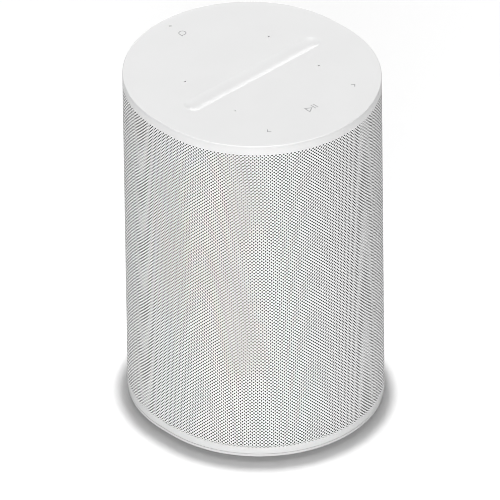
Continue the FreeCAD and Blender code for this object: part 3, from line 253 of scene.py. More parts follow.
def circuitBoard(name, mask):
    # solder mask over copper tracks, with pads and small parts' footprints
    made = Finish(name, Roughness=0.35, Coat_Weight=0.3)
    cell = made.node(
        "ShaderNodeTexVoronoi",
        {"feature": "DISTANCE_TO_EDGE"},
        {"Vector": made.place((1 / (3.1 * mm),) * 3), "Scale": 1.0},
    )
    track = 1 - cell.ramp(0.03, 0.07)
    pads = made.node(
        "ShaderNodeTexVoronoi",
        {"feature": "F1", "distance": "CHEBYCHEV"},
        {"Vector": made.place((1 / (2.3 * mm),) * 3), "Scale": 1.0},
    )
    pad = 1 - pads.ramp(0.16, 0.19)
    base = made.blend(track, shade(mask, 0.8), shade(mask, 1.7))
    made.feed("Base Color", made.blend(pad, base, (0.62, 0.60, 0.55, 1.0)))
    made.feed("Metallic", pad * 0.9)
    made.relief(track * 0.5 + pad, 0.03 * mm, 0.7)
    return made.material


def foamBlock(name, colour):
    # open foam: rounded cells whose hollows are painted dark, as painted shade
    made = Finish(name, Roughness=0.95)
    cells = made.node(
        "ShaderNodeTexVoronoi", {"feature": "F1"},
        {"Vector": made.place((1 / (1.1 * mm),) * 3), "Scale": 1.0}
    )
    made.feed("Base Color", made.blend(cells.ramp(0.1, 0.6), shade(colour, 0.3), shade(colour, 1.2)))
    made.relief(cells, 0.4 * mm, 1.0)
    return made.material


def glossyFilm(name, colour, alpha=1.0):
    # thin glossy plastic with faint ripples and smears
    made = Finish(name, Roughness=0.22, IOR=1.5, Alpha=alpha)
    ripple = made.noise(2.5 * mm, 2)
    smear = made.noise(0.8 * mm, 4, (1, 1, 0.2))
    made.feed("Base Color", made.blend(ripple.ramp(0.3, 0.8), shade(colour, 0.85), shade(colour, 1.15)))
    made.feed("Roughness", 0.16 + smear * 0.16)
    made.relief(ripple, 0.05 * mm, 0.4)
    return made.material


def paperCone(name, colour):
    # pressed pulp: short fibres in a dark dyed sheet
    made = Finish(name, Roughness=0.8)
    fibre = made.noise(0.5 * mm, 5, (1, 0.25, 1))
    made.feed("Base Color", made.blend(fibre.ramp(0.35, 0.75), shade(colour, 0.6), shade(colour, 1.9)))
    made.relief(fibre, 0.08 * mm, 0.8)
    return made.material


def printedInk(name, colour):
    # screen-printed ink with slightly uneven cover
    made = Finish(name, Roughness=0.5)
    cover = made.noise(0.2 * mm, 3)
    made.feed("Base Color", made.blend(cover.ramp(0.3, 0.8), shade(colour, 0.9), shade(colour, 1.15)))
    made.relief(cover, 0.004 * mm, 0.5)
    return made.material


materials = {
    "shellWhite": mouldedWhite("shellWhite", **whiteLook),
    "sleeveWhite": mouldedWhite("sleeveWhite", (0.76, 0.76, 0.76), 0.42, 0.3 * mm),
    "controlWhite": mouldedWhite("controlWhite", (0.73, 0.73, 0.727), 0.34, 0.4 * mm),
    # the land between the holes is the sleeve's plastic painted brighter than the plain strips, as painted
    # light
    "sleeveLandPaintedLight": mouldedWhite("sleeveLandPaintedLight", (0.865, 0.865, 0.865), 0.42, 0.3 * mm),
    # the hole walls' dark grey is painted shade: it stands in for the shade inside each hole
    "pitWallShade": pitWallShade("pitWallShade", (0.13, 0.13, 0.13)),
    "pitFloor": wovenCloth("pitFloor", (0.02, 0.02, 0.02), 0.2 * mm),
    "iconInk": printedInk("iconInk", (0.36, 0.36, 0.365)),
    "acousticCloth": wovenCloth("acousticCloth", (0.03, 0.03, 0.032), 0.5 * mm),
    "footRubber": softRubber("footRubber", (0.16, 0.16, 0.163), 0.6),
    "sealFoam": softRubber("sealFoam", (0.05, 0.05, 0.05), 0.85),
    "surroundRubber": softRubber("surroundRubber", (0.03, 0.03, 0.032), 0.45),
    "cabinetBlack": mouldedDark("cabinetBlack", (0.05, 0.05, 0.053), 0.5, 0.4 * mm),
    "socketBlack": mouldedDark("socketBlack", (0.028, 0.028, 0.028), 0.45, 0.25 * mm),
    "chipBlack": mouldedDark("chipBlack", (0.02, 0.02, 0.021), 0.55, 0.15 * mm),
    "powderCoat": mouldedDark("powderCoat", (0.03, 0.03, 0.032), 0.4, 0.3 * mm),
    "motorSteel": metalFinish("motorSteel", (0.45, 0.45, 0.46), 0.36, (1, 1, 0.2)),
    "zincSteel": metalFinish("zincSteel", (0.62, 0.62, 0.63), 0.32, (1, 1, 0.15)),
    "tinPlate": metalFinish("tinPlate", (0.72, 0.72, 0.70), 0.25, (0.1, 1, 1)),
    "socketSteel": metalFinish("socketSteel", (0.66, 0.66, 0.67), 0.24, (0.1, 1, 1)),
    "aluminium": metalFinish("aluminium", (0.80, 0.80, 0.81), 0.3, (1, 0.05, 1)),
    "brass": metalFinish("brass", (0.80, 0.58, 0.24), 0.25, (1, 1, 0.05)),
    "ferrite": mouldedDark("ferrite", (0.06, 0.06, 0.062), 0.6, 0.6 * mm),
    "copperCoil": woundWire("copperCoil", (0.78, 0.36, 0.16), 0.4 * mm, 1),
    "copperToroid": woundWire("copperToroid", (0.78, 0.36, 0.16), 0.9 * mm, 0),
    "tapeYellow": glossyFilm("tapeYellow", (0.72, 0.55, 0.06)),
    "canSleeve": glossyFilm("canSleeve", (0.04, 0.05, 0.11)),
    "leadRed": glossyFilm("leadRed", (0.42, 0.03, 0.03)),
    "flexAmber": glossyFilm("flexAmber", (0.50, 0.24, 0.03)),
    "clearPipe": glossyFilm("clearPipe", (0.90, 0.92, 0.90), 0.7),
    "ledPhosphor": glossyFilm("ledPhosphor", (0.85, 0.75, 0.35)),
    "conePaper": paperCone("conePaper", (0.035, 0.035, 0.037)),
    "domeSilk": wovenCloth("domeSilk", (0.035, 0.035, 0.037), 0.3 * mm, 0.6),
    "spiderCloth": wovenCloth("spiderCloth", (0.48, 0.32, 0.14), 0.6 * mm),
    "boardGreen": circuitBoard("boardGreen", (0.015, 0.09, 0.05)),
    "dampingFoam": foamBlock("dampingFoam", (0.16, 0.16, 0.165)),
}
print("materials made:", len(materials))


def makeMesh(name, points, faces, finishes, faceFinish=None, sharpAngle=32.0):
    # points is (n, 3) in metres; faces is a list of index arrays, one for each number of corners. The
    # shell's volume, the sum of its faces' cones from the origin, is positive when they point outwards
    points = np.ascontiguousarray(points, float)
    volume = 0.0
    for face in faces:
        for k in range(1, face.shape[1] - 1):
            corners = points[face[:, 0]], points[face[:, k]], points[face[:, k + 1]]
            volume += np.einsum("ij,ij->", corners[0], np.cross(corners[1], corners[2]))
    if volume < 0:
        faces = [face[:, ::-1] for face in faces]
    mesh = bpy.data.meshes.new(name)
    mesh.vertices.add(len(points))
    mesh.vertices.foreach_set("co", np.ascontiguousarray(points, np.float32).ravel())
    corners = np.concatenate([np.asarray(f, np.int32).ravel() for f in faces])
    counts = np.concatenate([np.full(len(f), np.shape(f)[1], np.int32) for f in faces])
    starts = np.concatenate([[0], np.cumsum(counts)[:-1]]).astype(np.int32)
    mesh.loops.add(len(corners))
    mesh.loops.foreach_set("vertex_index", corners)
    mesh.polygons.add(len(counts))
    mesh.polygons.foreach_set("loop_start", starts)
    mesh.polygons.foreach_set("loop_total", counts)
    for finish in finishes:
        mesh.materials.append(materials[finish])
    if faceFinish is not None:
        mesh.polygons.foreach_set("material_index", np.asarray(faceFinish, np.int32))
    mesh.update(calc_edges=True)
    mesh.validate()
    mesh.shade_smooth()
    mesh.set_sharp_from_angle(angle=math.radians(sharpAngle))
    piece = bpy.data.objects.new(name, mesh)
    bpy.context.scene.collection.objects.link(piece)
    return piece


def gridFaces(rows, columns, start=0, closed=True):
    # quads between neighbouring rows of a grid whose rows run round the piece
    last = columns if closed else columns - 1
    row, column = np.meshgrid(np.arange(rows - 1), np.arange(last), indexing="ij")
    following = (column + 1) % columns
    here = start + row * columns
    above = start + (row + 1) * columns
    quads = np.stack([here + column, here + following, above + following, above + column], axis=-1)
    return quads.reshape(-1, 4)


def loopFaces(rows, count):
    # the grid's quads, and those that join its last row to its first
    seam = gridFaces(2, count)
    return [gridFaces(rows, count), np.where(seam < count, seam + (rows - 1) * count, seam - count)]


def capFan(ring, centre, flip=False):
    # triangles from a closed ring to one point
    following = np.roll(ring, -1)
    order = [following, ring] if flip else [ring, following]
    return np.stack(order + [np.full(len(ring), centre)], axis=-1)


def ovalPath(distance, radius, run):
    # distance round an oval of two half circles (centres at y = -run and +run) joined by straight
    # sides, from the front, anticlockwise from above: returns the path's centre line and its outward normal
    quarter = 0.5 * math.pi * radius
    total = 4 * quarter + 4 * run
    d = np.mod(distance, total)
    zones = [d < quarter, d < quarter + 2 * run, d < 3 * quarter + 2 * run, d < 3 * quarter + 4 * run]
    angle = np.select(
        zones,
        [-0.5 * math.pi + d / radius, 0 * d, (d - quarter - 2 * run) / radius, math.pi + 0 * d],
        math.pi + (d - 3 * quarter - 4 * run) / radius,
    )
    centre = np.select(
        zones,
        [-run + 0 * d, d - quarter - run, run + 0 * d, run - (d - 3 * quarter - 2 * run)],
        -run,
    )
    return centre, np.cos(angle), np.sin(angle), total


def ovalRing(count, radius, run, level, along="y", middle=(0.0, 0.0), walk=None):
    # count points round an oval of this radius, all found along one walk so that rings match
    walkRadius = walk or max(radius, 1e-6)
    total = 2 * math.pi * walkRadius + 4 * run
    centre, nx, ny, total = ovalPath(np.arange(count) * total / count, walkRadius, run)
    x = nx * radius
    y = centre + ny * radius
    if along == "x":
        x, y = -y, x
    return np.stack([x + middle[0], y + middle[1], np.full(count, level)], axis=-1)


def ovalLoft(profile, run, count, along="y", middle=(0.0, 0.0), walk=None):
    # a profile of (radius, level) pairs carried round an oval
    rings = [ovalRing(count, r, run, z, along, middle, walk) for r, z in profile]
    return np.concatenate(rings)


def bend(corner, start, end, radius, steps=5):
    # points of a rounded corner between the directions to start and end
    corner, start, end = (np.asarray(p, float) for p in (corner, start, end))
    toStart = (start - corner) / np.linalg.norm(start - corner)
    toEnd = (end - corner) / np.linalg.norm(end - corner)
    half = 0.5 * math.acos(float(np.clip(toStart @ toEnd, -1, 1)))
    middle = corner + (toStart + toEnd) / np.linalg.norm(toStart + toEnd) * radius / math.sin(half)
    first = corner + toStart * radius / math.tan(half) - middle
    last = corner + toEnd * radius / math.tan(half) - middle
    turn = math.atan2(first[0] * last[1] - first[1] * last[0], float(first @ last))
    angles = np.linspace(0, turn, steps)
    rotated = [
        (middle[0] + first[0] * math.cos(a) - first[1] * math.sin(a),
         middle[1] + first[0] * math.sin(a) + first[1] * math.cos(a))
        for a in angles
    ]
    return rotated


def roundedProfile(corners, radii, steps=4):
    # an outline of (radius, level) corners, each with its own rounding
    points = []
    for i, (corner, radius) in enumerate(zip(corners, radii)):
        if radius and 0 < i < len(corners) - 1:
            points += bend(corner, corners[i - 1], corners[i + 1], radius, steps)
        else:
            points.append(tuple(corner))
    return points


def closedLoft(name, corners, radii, run, count, finishes, walk=None, steps=4):
    # a closed profile carried round an oval: a ring-shaped piece
    points = []
    for i, (corner, radius) in enumerate(zip(corners, radii)):
        before, after = corners[i - 1], corners[(i + 1) % len(corners)]
        points += bend(corner, before, after, radius, steps) if radius else [tuple(corner)]
    rings = ovalLoft(points, run, count, walk=walk)
    return makeMesh(name, rings, loopFaces(len(points), count), finishes)


def removeAll(pieces):
    for piece in pieces:
        mesh = piece.data
        bpy.data.objects.remove(piece)
        bpy.data.meshes.remove(mesh)


def weldSeams(piece):
    # joins the points that coincide on a flattened ring
    work = bmesh.new()
    work.from_mesh(piece.data)
    bmesh.ops.remove_doubles(work, verts=work.verts, dist=1e-6)
    work.to_mesh(piece.data)
    work.free()


def cutWith(piece, cutters):
    # takes the cutters' shapes out of a piece, then removes them
    for cutter in cutters:
        modifier = piece.modifiers.new("cut", "BOOLEAN")
        modifier.operation = "DIFFERENCE"
        modifier.solver = "EXACT"
        modifier.object = cutter
    bpy.context.view_layer.update()
    depsgraph = bpy.context.evaluated_depsgraph_get()
    finished = bpy.data.meshes.new_from_object(piece.evaluated_get(depsgraph))
    piece.modifiers.clear()
    old = piece.data
    piece.data = finished
    bpy.data.meshes.remove(old)
    removeAll(cutters)
    piece.data.shade_smooth()
    piece.data.set_sharp_from_angle(angle=math.radians(32))
    return piece


def joinPieces(name, pieces):
    # several closed shells as one piece
    bpy.context.view_layer.update()
    points, corners, counts, finish, finishes, start = [], [], [], [], [], 0
    for piece in pieces:
        mesh = piece.data
        place = np.empty(3 * len(mesh.vertices), np.float32)
        mesh.vertices.foreach_get("co", place)
        index = np.empty(len(mesh.loops), np.int32)
        mesh.loops.foreach_get("vertex_index", index)
        total = np.empty(len(mesh.polygons), np.int32)
        mesh.polygons.foreach_get("loop_total", total)
        own = np.empty(len(mesh.polygons), np.int32)
        mesh.polygons.foreach_get("material_index", own)
        # finishes are numbered in the order in which faces first use them
        used, first = np.unique(own, return_index=True)
        slots = np.zeros(len(mesh.materials), np.int32)
        for slot in used[np.argsort(first)]:
            material = mesh.materials[int(slot)]
            if material not in finishes:
                finishes.append(material)
            slots[slot] = finishes.index(material)
        points.append(place)
        corners.append(index + start)
        counts.append(total)
        finish.append(slots[own])
        start += len(mesh.vertices)
    corners, counts = np.concatenate(corners), np.concatenate(counts)
    joined = bpy.data.meshes.new(name)
    joined.vertices.add(start)
    joined.vertices.foreach_set("co", np.concatenate(points))
    joined.loops.add(len(corners))
    joined.loops.foreach_set("vertex_index", corners)
    joined.polygons.add(len(counts))
    joined.polygons.foreach_set("loop_start", (np.cumsum(counts) - counts).astype(np.int32))
    joined.polygons.foreach_set("loop_total", counts)
    for used in finishes:
        joined.materials.append(used)
    joined.polygons.foreach_set("material_index", np.concatenate(finish).astype(np.int32))
    joined.update(calc_edges=True)
    joined.shade_smooth()
    joined.set_sharp_from_angle(angle=math.radians(32))
    removeAll(pieces)
    made = bpy.data.objects.new(name, joined)
    bpy.context.scene.collection.objects.link(made)
    return made


def turnedPiece(name, profile, count, finish, turn=None, offset=(0, 0, 0), run=0.0, along="y", sharp=32.0):
    # a profile of (radius, level) pairs carried round a circle or oval and closed at both ends
    rings = ovalLoft(profile, run, count, along)
    rows = len(profile)
    low = np.arange(count)
    high = low + (rows - 1) * count
    points = np.concatenate([rings, [[0, 0, profile[0][1]], [0, 0, profile[-1][1]]]])
    faces = [
        gridFaces(rows, count),
        capFan(low, rows * count, flip=True),
        capFan(high, rows * count + 1),
    ]
    if turn is not None:
        points = points @ np.array(turn).T
    points = points + np.array(offset)
    return makeMesh(name, points, faces, [finish], sharpAngle=sharp)


view = {"azimuth": -43.01, "elevation": 34.55, "roll": -0.75, "distance": 9.414, "focal": 1412.0,
        "aimHeight": 90.77 * mm, "framing": (-1.96 * mm, -8.69 * mm)}


def makeCamera():
    azimuth, elevation, roll = (math.radians(view[k]) for k in ("azimuth", "elevation", "roll"))
    back = Vector(
        (math.sin(azimuth) * math.cos(elevation), -math.cos(azimuth) * math.cos(elevation),
         math.sin(elevation))
    )
    right = Vector((math.cos(azimuth), math.sin(azimuth), 0))
    up = back.cross(right)
    rightRolled = right * math.cos(roll) + up * math.sin(roll)
    upRolled = up * math.cos(roll) - right * math.sin(roll)
    aim = Vector((0, 0,
                  view["aimHeight"])) + rightRolled * view["framing"][0] + upRolled * view["framing"][1]
    place = aim + back * view["distance"]
    camera = bpy.data.objects.new("camera", bpy.data.cameras.new("camera"))
    camera.matrix_world = Matrix.Translation(place) @ Matrix((rightRolled, upRolled,
                                                              back)).transposed().to_4x4()
    camera.data.lens = view["focal"]
    camera.data.sensor_width = 36
    camera.data.clip_end = 100
    bpy.context.scene.collection.objects.link(camera)
    bpy.context.scene.camera = camera


makeCamera()


studio = {"floor": 0.99, "world": 0.155, "key": 40.5, "overhead": 42.0, "canopy": 10.0,
          "behind": 12.0}


def makeFloor():
    made = Finish("floorPaper", Roughness=0.9)
    tone = made.noise(0.08, 3)
    bright = studio["floor"]
    made.feed("Base Color", made.blend(tone, (bright, bright, bright, 1), (bright * 0.99,) * 3 + (1,)))
    size = 6.0
    mesh = bpy.data.meshes.new("floor")
    mesh.from_pydata([(-size, -size, 0), (size, -size, 0), (size, size, 0), (-size, size, 0)], [],
                     [(0, 1, 2, 3)])
    mesh.materials.append(made.material)
    floor = bpy.data.objects.new("floor", mesh)
    bpy.context.scene.collection.objects.link(floor)


def makeLamp(name, azimuth, elevation, distance, size, power):
    a, e = math.radians(azimuth), math.radians(elevation)
    back = Vector((math.sin(a) * math.cos(e), -math.cos(a) * math.cos(e), math.sin(e)))
    lamp = bpy.data.objects.new(name, bpy.data.lights.new(name, "AREA"))
    lamp.data.shape = "DISK"
    lamp.data.size = size
    lamp.data.energy = power
    turn = back.to_track_quat("Z", "Y").to_matrix().to_4x4()
    lamp.matrix_world = Matrix.Translation(back * distance + Vector((0, 0, 0.09))) @ turn
    bpy.context.scene.collection.objects.link(lamp)


def makeLight():
    world = bpy.data.worlds.new("studio")
    world.use_nodes = True
    background = world.node_tree.nodes["Background"]
    background.inputs["Color"].default_value = (1, 1, 1, 1)
    background.inputs["Strength"].default_value = studio["world"]
    bpy.context.scene.world = world
    makeLamp("key", -47, 6.5, 2.5, 1.0, studio["key"])
    makeLamp("overhead", 133, 88.95, 2.5, 0.09, studio["overhead"])
    makeLamp("canopy", 133, 86, 2.5, 0.9, studio["canopy"])
    makeLamp("behind", 140, 10, 2.5, 1.0, studio["behind"])


makeFloor()
makeLight()
bpy.context.scene.view_settings.view_transform = "Standard"
bpy.context.scene.cycles.filter_width = 0.85     # crisp enough for the small holes
print("camera, floor and light set")


sleeve = {
    "columns": 418,                # lattice columns round the body, an even number
    "rows": 190,
    "topMargin": 5.4 * mm,         # from the top of the case to the first row of holes
    "lowMargin": 5.9 * mm,         # from the base's lower edge to the last row
    "holeRadius": 0.45 * mm,
    "pitDepth": 0.6 * mm,
    "wall": 1.6 * mm,
    "edge": 0.12 * mm,
    "panels": 8,
    "borderWidth": 2.4 * mm,       # plain land round the rear panel
}


def latticeLevels():
    low = baseLine + sleeve["lowMargin"]
    high = caseTop - sleeve["topMargin"]
    step = (high - low) / (sleeve["rows"] - 1)
    edge = sleeve["edge"]
    levels = low + step * np.arange(-1, sleeve["rows"] + 1)
    bottom = [sleeveLow.z, sleeveLow.z + 0.3 * edge, sleeveLow.z + edge]
    top = [sleeveHigh.z - edge, sleeveHigh.z - 0.3 * edge, sleeveHigh.z]
    return np.concatenate([bottom, levels, top])


def pillDistance(x, z):
    # distance outside the rear panel's pill outline, seen from behind
    middle = 0.5 * (panelLow.z + panelHigh.z)
    run = 27 * mm
    dz = np.maximum(np.abs(z - middle) - run, 0)
    return np.hypot(x, dz) - 11.3 * mm


def sleevePoint(column, level, radius):
    # a point of the sleeve, by lattice column (fractions allowed), height and radius
    _, _, _, total = ovalPath(np.zeros(1), caseRadius, caseRun)
    centre, nx, ny, _ = ovalPath(column * total / sleeve["columns"], caseRadius, caseRun)
    return np.stack([nx * radius, centre + ny * radius, level + 0 * nx], axis=-1)


def sleevePanel(index):
    # one upright strip of the sleeve: a closed shell whose outside carries a staggered lattice of
    # round pits. The lattice is cut into diamonds, one round each pit, whose corners are the
    # neighbouring lattice points; plain strips run to the upper and lower edges
    columns, rows = sleeve["columns"], sleeve["rows"]
    levels = latticeLevels()
    extra = 4                                   # rows of the grid below lattice row 0
    columnStep = ovalPath(np.zeros(1), caseRadius, caseRun)[3] / columns
    bounds = np.round(np.linspace(0, columns / 2, sleeve["panels"] + 1)).astype(int) * 2
    start = columns // 2 - bounds[1] // 2       # the first strip is centred on the back
    first, last = bounds[index] + start, bounds[index + 1] + start
    first, last = first - first % 2, last - last % 2

    def vertexId(column, row):
        return (row + extra) * columns + np.mod(column, columns)

    column, row = np.meshgrid(np.arange(first, last), np.arange(rows), indexing="ij")
    chosen = (column + row) % 2 == 0
    column, row = column[chosen], row[chosen]
    outside = sleevePoint(column.astype(float), levels[row + extra], caseRadius)
    near = np.where(outside[:, 1] > 0, pillDistance(outside[:, 0], outside[:, 2]), 1.0)
    kept = near > 1.0 * mm
    column, row, near = column[kept], row[kept], near[kept]
    corner = [vertexId(column + 1, row), vertexId(column, row + 1),
              vertexId(column - 1, row), vertexId(column, row - 1)]
    plain = near < sleeve["borderWidth"] + 0.45 * mm
    plainQuads = np.stack(corner, axis=-1)

    # upper and lower strips, on every second column
    upColumn = np.arange(first, last)
    upColumn = upColumn[(upColumn + rows) % 2 == 1]
    fill = [np.stack([vertexId(upColumn, rows + 0 * upColumn),
                      vertexId(upColumn + 1, rows - 1 + 0 * upColumn),
                      vertexId(upColumn + 2, rows + 0 * upColumn)], axis=-1)]
    lowColumn = np.arange(first, last)
    lowColumn = lowColumn[lowColumn % 2 == 1]
    fill.append(np.stack([vertexId(lowColumn, -1 + 0 * lowColumn),
                          vertexId(lowColumn + 2, -1 + 0 * lowColumn),
                          vertexId(lowColumn + 1, 0 * lowColumn)], axis=-1))
    strips = []
    for start, stop, spots in ((rows, rows + 3, upColumn), (-4, -1, lowColumn)):
        for r in range(start, stop):
            strips.append(np.stack([vertexId(spots, r), vertexId(spots + 2, r),
                                    vertexId(spots + 2, r + 1), vertexId(spots, r + 1)], axis=-1))
    strips = np.concatenate(strips)
    fill = np.concatenate(fill)

    gridColumn, gridRow = np.meshgrid(np.arange(columns), np.arange(len(levels)), indexing="xy")
    radius = np.full(len(levels), caseRadius)
    edge = sleeve["edge"]
    radius[[0, -1]] -= 0.3 * edge
    radius[[1, -2]] -= 0.05 * edge
    gridOut = sleevePoint(gridColumn.ravel().astype(float), levels[gridRow.ravel()],
                          radius[gridRow.ravel()])
    gridIn = sleevePoint(gridColumn.ravel().astype(float), levels[gridRow.ravel()],
                         caseRadius - sleeve["wall"])

    # pits: eight points round each rim and each floor
    pit = ~plain
    count = int(pit.sum())
    turn = np.arange(8) * math.pi / 4
    rimColumn = column[pit][:, None] + sleeve["holeRadius"] * np.cos(turn) / columnStep
    rimLevel = levels[row[pit] + extra][:, None] + sleeve["holeRadius"] * np.sin(turn)
    rim = sleevePoint(rimColumn.ravel(), rimLevel.ravel(), caseRadius)
    floorPoints = sleevePoint(rimColumn.ravel(), rimLevel.ravel(), caseRadius - sleeve["pitDepth"])
    rimStart = 2 * len(gridOut)
    floorStart = rimStart + len(rim)
    here = np.arange(count) * 8
    rimId = [rimStart + here + k for k in range(8)]
    floorId = [floorStart + here + k for k in range(8)]
    pitCorner = [c[pit] for c in corner]
    lattice, walls, floors = [], [], []
    for k in range(4):
        after = (k + 1) % 4
        near0, middle, near1 = rimId[2 * k], rimId[2 * k + 1], rimId[(2 * k + 2) % 8]
        lattice.append(np.stack([pitCorner[k], middle, near0], axis=-1))
        lattice.append(np.stack([pitCorner[k], pitCorner[after], middle], axis=-1))
        lattice.append(np.stack([pitCorner[after], near1, middle], axis=-1))
    # the pit walls take the dark grey that is painted shade inside the holes
    for k in range(8):
        after = (k + 1) % 8
        walls.append(np.stack([rimId[k], rimId[after], floorId[after], floorId[k]], axis=-1))
    floors.append(np.stack(floorId, axis=-1))
    lattice, walls, floors = np.concatenate(lattice), np.concatenate(walls), np.concatenate(floors)

    # the inside, the same diamonds and strips turned over, and the rim that closes the shell
    quads = np.concatenate([plainQuads, strips])
    inner = len(gridOut)
    backQuads = quads[:, ::-1] + inner
    backFill = fill[:, ::-1] + inner
    edges = np.concatenate(
        [np.stack([quads[:, k], quads[:, (k + 1) % 4]], axis=-1) for k in range(4)]
        + [np.stack([fill[:, k], fill[:, (k + 1) % 3]], axis=-1) for k in range(3)]
    )
    key = edges[:, 0] * (2 * inner) + edges[:, 1]
    reverseKey = edges[:, 1] * (2 * inner) + edges[:, 0]
    border = edges[~np.isin(key, reverseKey)]
    side = np.stack([border[:, 1], border[:, 0], border[:, 0] + inner, border[:, 1] + inner], axis=-1)

    quadPlain = plainQuads[plain]
    faces = [lattice, fill, quadPlain, strips, backQuads, backFill, side, walls, floors]
    # the land between the pits takes the brighter copy of the sleeve plastic, which is painted light
    kinds = {id(walls): 1, id(floors): 2, id(lattice): 3}
    finish = np.concatenate([np.full(len(f), kinds.get(id(f), 0)) for f in faces])
    points = np.concatenate([gridOut, gridIn, rim, floorPoints])
    used = np.unique(np.concatenate([f.ravel() for f in faces]))
    lookup = np.zeros(len(points), np.int64)
    lookup[used] = np.arange(len(used))
    faces = [lookup[f] for f in faces]
    piece = makeMesh(
        "sleevePanel%d" % (index + 1), points[used], faces,
        ["sleeveWhite", "pitWallShade", "pitFloor", "sleeveLandPaintedLight"], finish, 25.0
    )
    return piece


def makeSleeve():
    total = 0
    for index in range(sleeve["panels"]):
        panel = sleevePanel(index)
        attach(panel, "housing")
        if index == 0:
            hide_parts("grille_shell")
        total += len(panel.data.polygons)
    print("sleeve made of", sleeve["panels"], "panels,", total, "faces")


makeSleeve()


def stationPath(distance, radius, run, along):
    # the same oval for either direction, always started at the front and walked anticlockwise
    if along == "y":
        centre, nx, ny, total = ovalPath(distance, radius, run)
        return np.stack([0 * centre, centre], -1), np.stack([nx, ny], -1), total
    quarter = 0.5 * math.pi * radius
    centre, nx, ny, total = ovalPath(distance - quarter - run, radius, run)
    return np.stack([-centre, 0 * centre], -1), np.stack([-ny, nx], -1), total


def walkedRing(count, radius, run, level, along, walk):
    # one ring of an oval whose stations are spaced as on an oval of radius walk
    total = 2 * math.pi * walk + 4 * run
    centre, normal, total = stationPath(np.arange(count) * total / count, walk, run, along)
    flat = centre + normal * radius
    return np.concatenate([flat, np.full((count, 1), level)], axis=1)


topCap = {
    "troughHalf": 38.4 * mm,       # half the straight run of the volume trough, along X
    "troughRound": 11.0 * mm,       # radius of its round bottom
    "troughDepth": 1.0 * mm,
    "troughEdge": 0.22 * mm,       # how softly its edge rolls over
    "edge": 0.5 * mm,
    "spigot": 57.7 * mm,
    "plate": 3.0 * mm,
    "around": 480,
    "mic": (27.5 * mm, 17.4 * mm, 0.35 * mm),
    "lampHole": 0.68 * mm,
    "posts": ((44.0, 12.0, 4.0, 14.5), (20.0, 28.0, 2.8, 5.1)),   # mm: across, back, radius, depth
}


def troughLevel(q):
    # depth below the top face at distance q from the trough's centre line: a circular arc that
    # meets the face through a smooth maximum
    arc = np.sqrt(np.maximum(topCap["troughRound"] ** 2 - q ** 2,
                             0)) - (topCap["troughRound"] - topCap["troughDepth"])
    soft = topCap["troughEdge"]
    return 0.5 * (arc + np.sqrt(arc ** 2 + soft ** 2)) - 0.5 * soft * np.exp(-((q / (6 * mm)) ** 4))


def makeTopCap():
    # rings run out from the trough's centre line, change from its long oval to the case's own oval
    # on the flat face, turn over the edge, and come back underneath
    count, half, walk = topCap["around"], topCap["troughHalf"], 6 * mm
    rings = []
    for q in np.concatenate([np.linspace(0, 3.4, 9), np.linspace(3.7, 5.6, 10), [6.1, 6.9, 7.8]]) * mm:
        level = caseTop - float(troughLevel(np.array(q)))
        rings.append(walkedRing(count, q, half, level, "x", walk))
    outline = walkedRing(count, caseRadius - topCap["edge"], caseRun, caseTop, "y", caseRadius)
    lastRing = rings[-1].copy()
    lastRing[:, 2] = caseTop
    for share in (0.0, 0.12, 0.26, 0.42, 0.6, 0.8, 0.93, 1.0):
        rings.append(lastRing * (1 - share) + outline * share)
    for turn in np.linspace(0, math.pi / 2, 7)[1:]:
        edge = topCap["edge"]
        radius = caseRadius - edge + edge * math.sin(turn)
        rings.append(walkedRing(count, radius, caseRun, caseTop - edge + edge * math.cos(turn), "y",
                                caseRadius))
    low = sleeveHigh.z + 0.02 * mm
    plate = caseTop - topCap["plate"]
    for radius, level in ((caseRadius, low + 0.03 * mm), (caseRadius - 0.03 * mm, low),
                          (topCap["spigot"], low),
                          (topCap["spigot"], plate + 0.3 * mm), (topCap["spigot"] - 0.3 * mm, plate)):
        rings.append(walkedRing(count, radius, caseRun, level, "y", caseRadius))
    under = rings[-1]
    inner = walkedRing(count, 6 * mm, half, plate, "x", walk)
    for share in (0.3, 0.65, 1.0):
        rings.append(under * (1 - share) + inner * share)
    rings.append(walkedRing(count, 0.0, half, plate, "x", walk))
    points = np.concatenate(rings)
    cap = makeMesh("topCap", points, [gridFaces(len(rings), count)], ["shellWhite"])
    weldSeams(cap)
    across, back, radius = topCap["mic"]
    spots = [(x, y, radius) for x in (-across, across) for y in (-back, back)]
    spots.append((0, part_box("led_light_pipe")[0].y * 0.5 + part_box("led_light_pipe")[1].y * 0.5,
                  topCap["lampHole"]))
    holes = []
    for x, y, size in spots:
        flare = [(size, plate - 1 * mm), (size, caseTop - 0.1 * mm),
                 (size + 0.12 * mm, caseTop + 0.02 * mm)]
        holes.append(turnedPiece("hole", flare, 24, "shellWhite", offset=(x, y, 0)))
    cap = cutWith(cap, holes)
    shells = [cap]
    for across, back, radius, depth in topCap["posts"]:
        bore = 1.4 if radius > 3 else 0.9
        profile = [(bore, -depth), (radius - 0.4, -depth), (radius, -depth + 0.4), (radius, 0.2),
                   (bore, 0.2)]
        for x in (-across, across):
            for y in (-back, back):
                rings = [ovalRing(32, r * mm, 0, plate + z * mm, middle=(x * mm, y * mm)) for r,
                         z in profile]
                shells.append(ringShell("post", rings, "shellWhite"))
    return joinPieces("topCap", shells)


def ringShell(name, rings, finish, sharp=32.0):
    # closed rings that form a loop in section, such as a tube with thick walls
    faces = loopFaces(len(rings), len(rings[0]))
    return makeMesh(name, np.concatenate(rings), faces, [finish], sharpAngle=sharp)


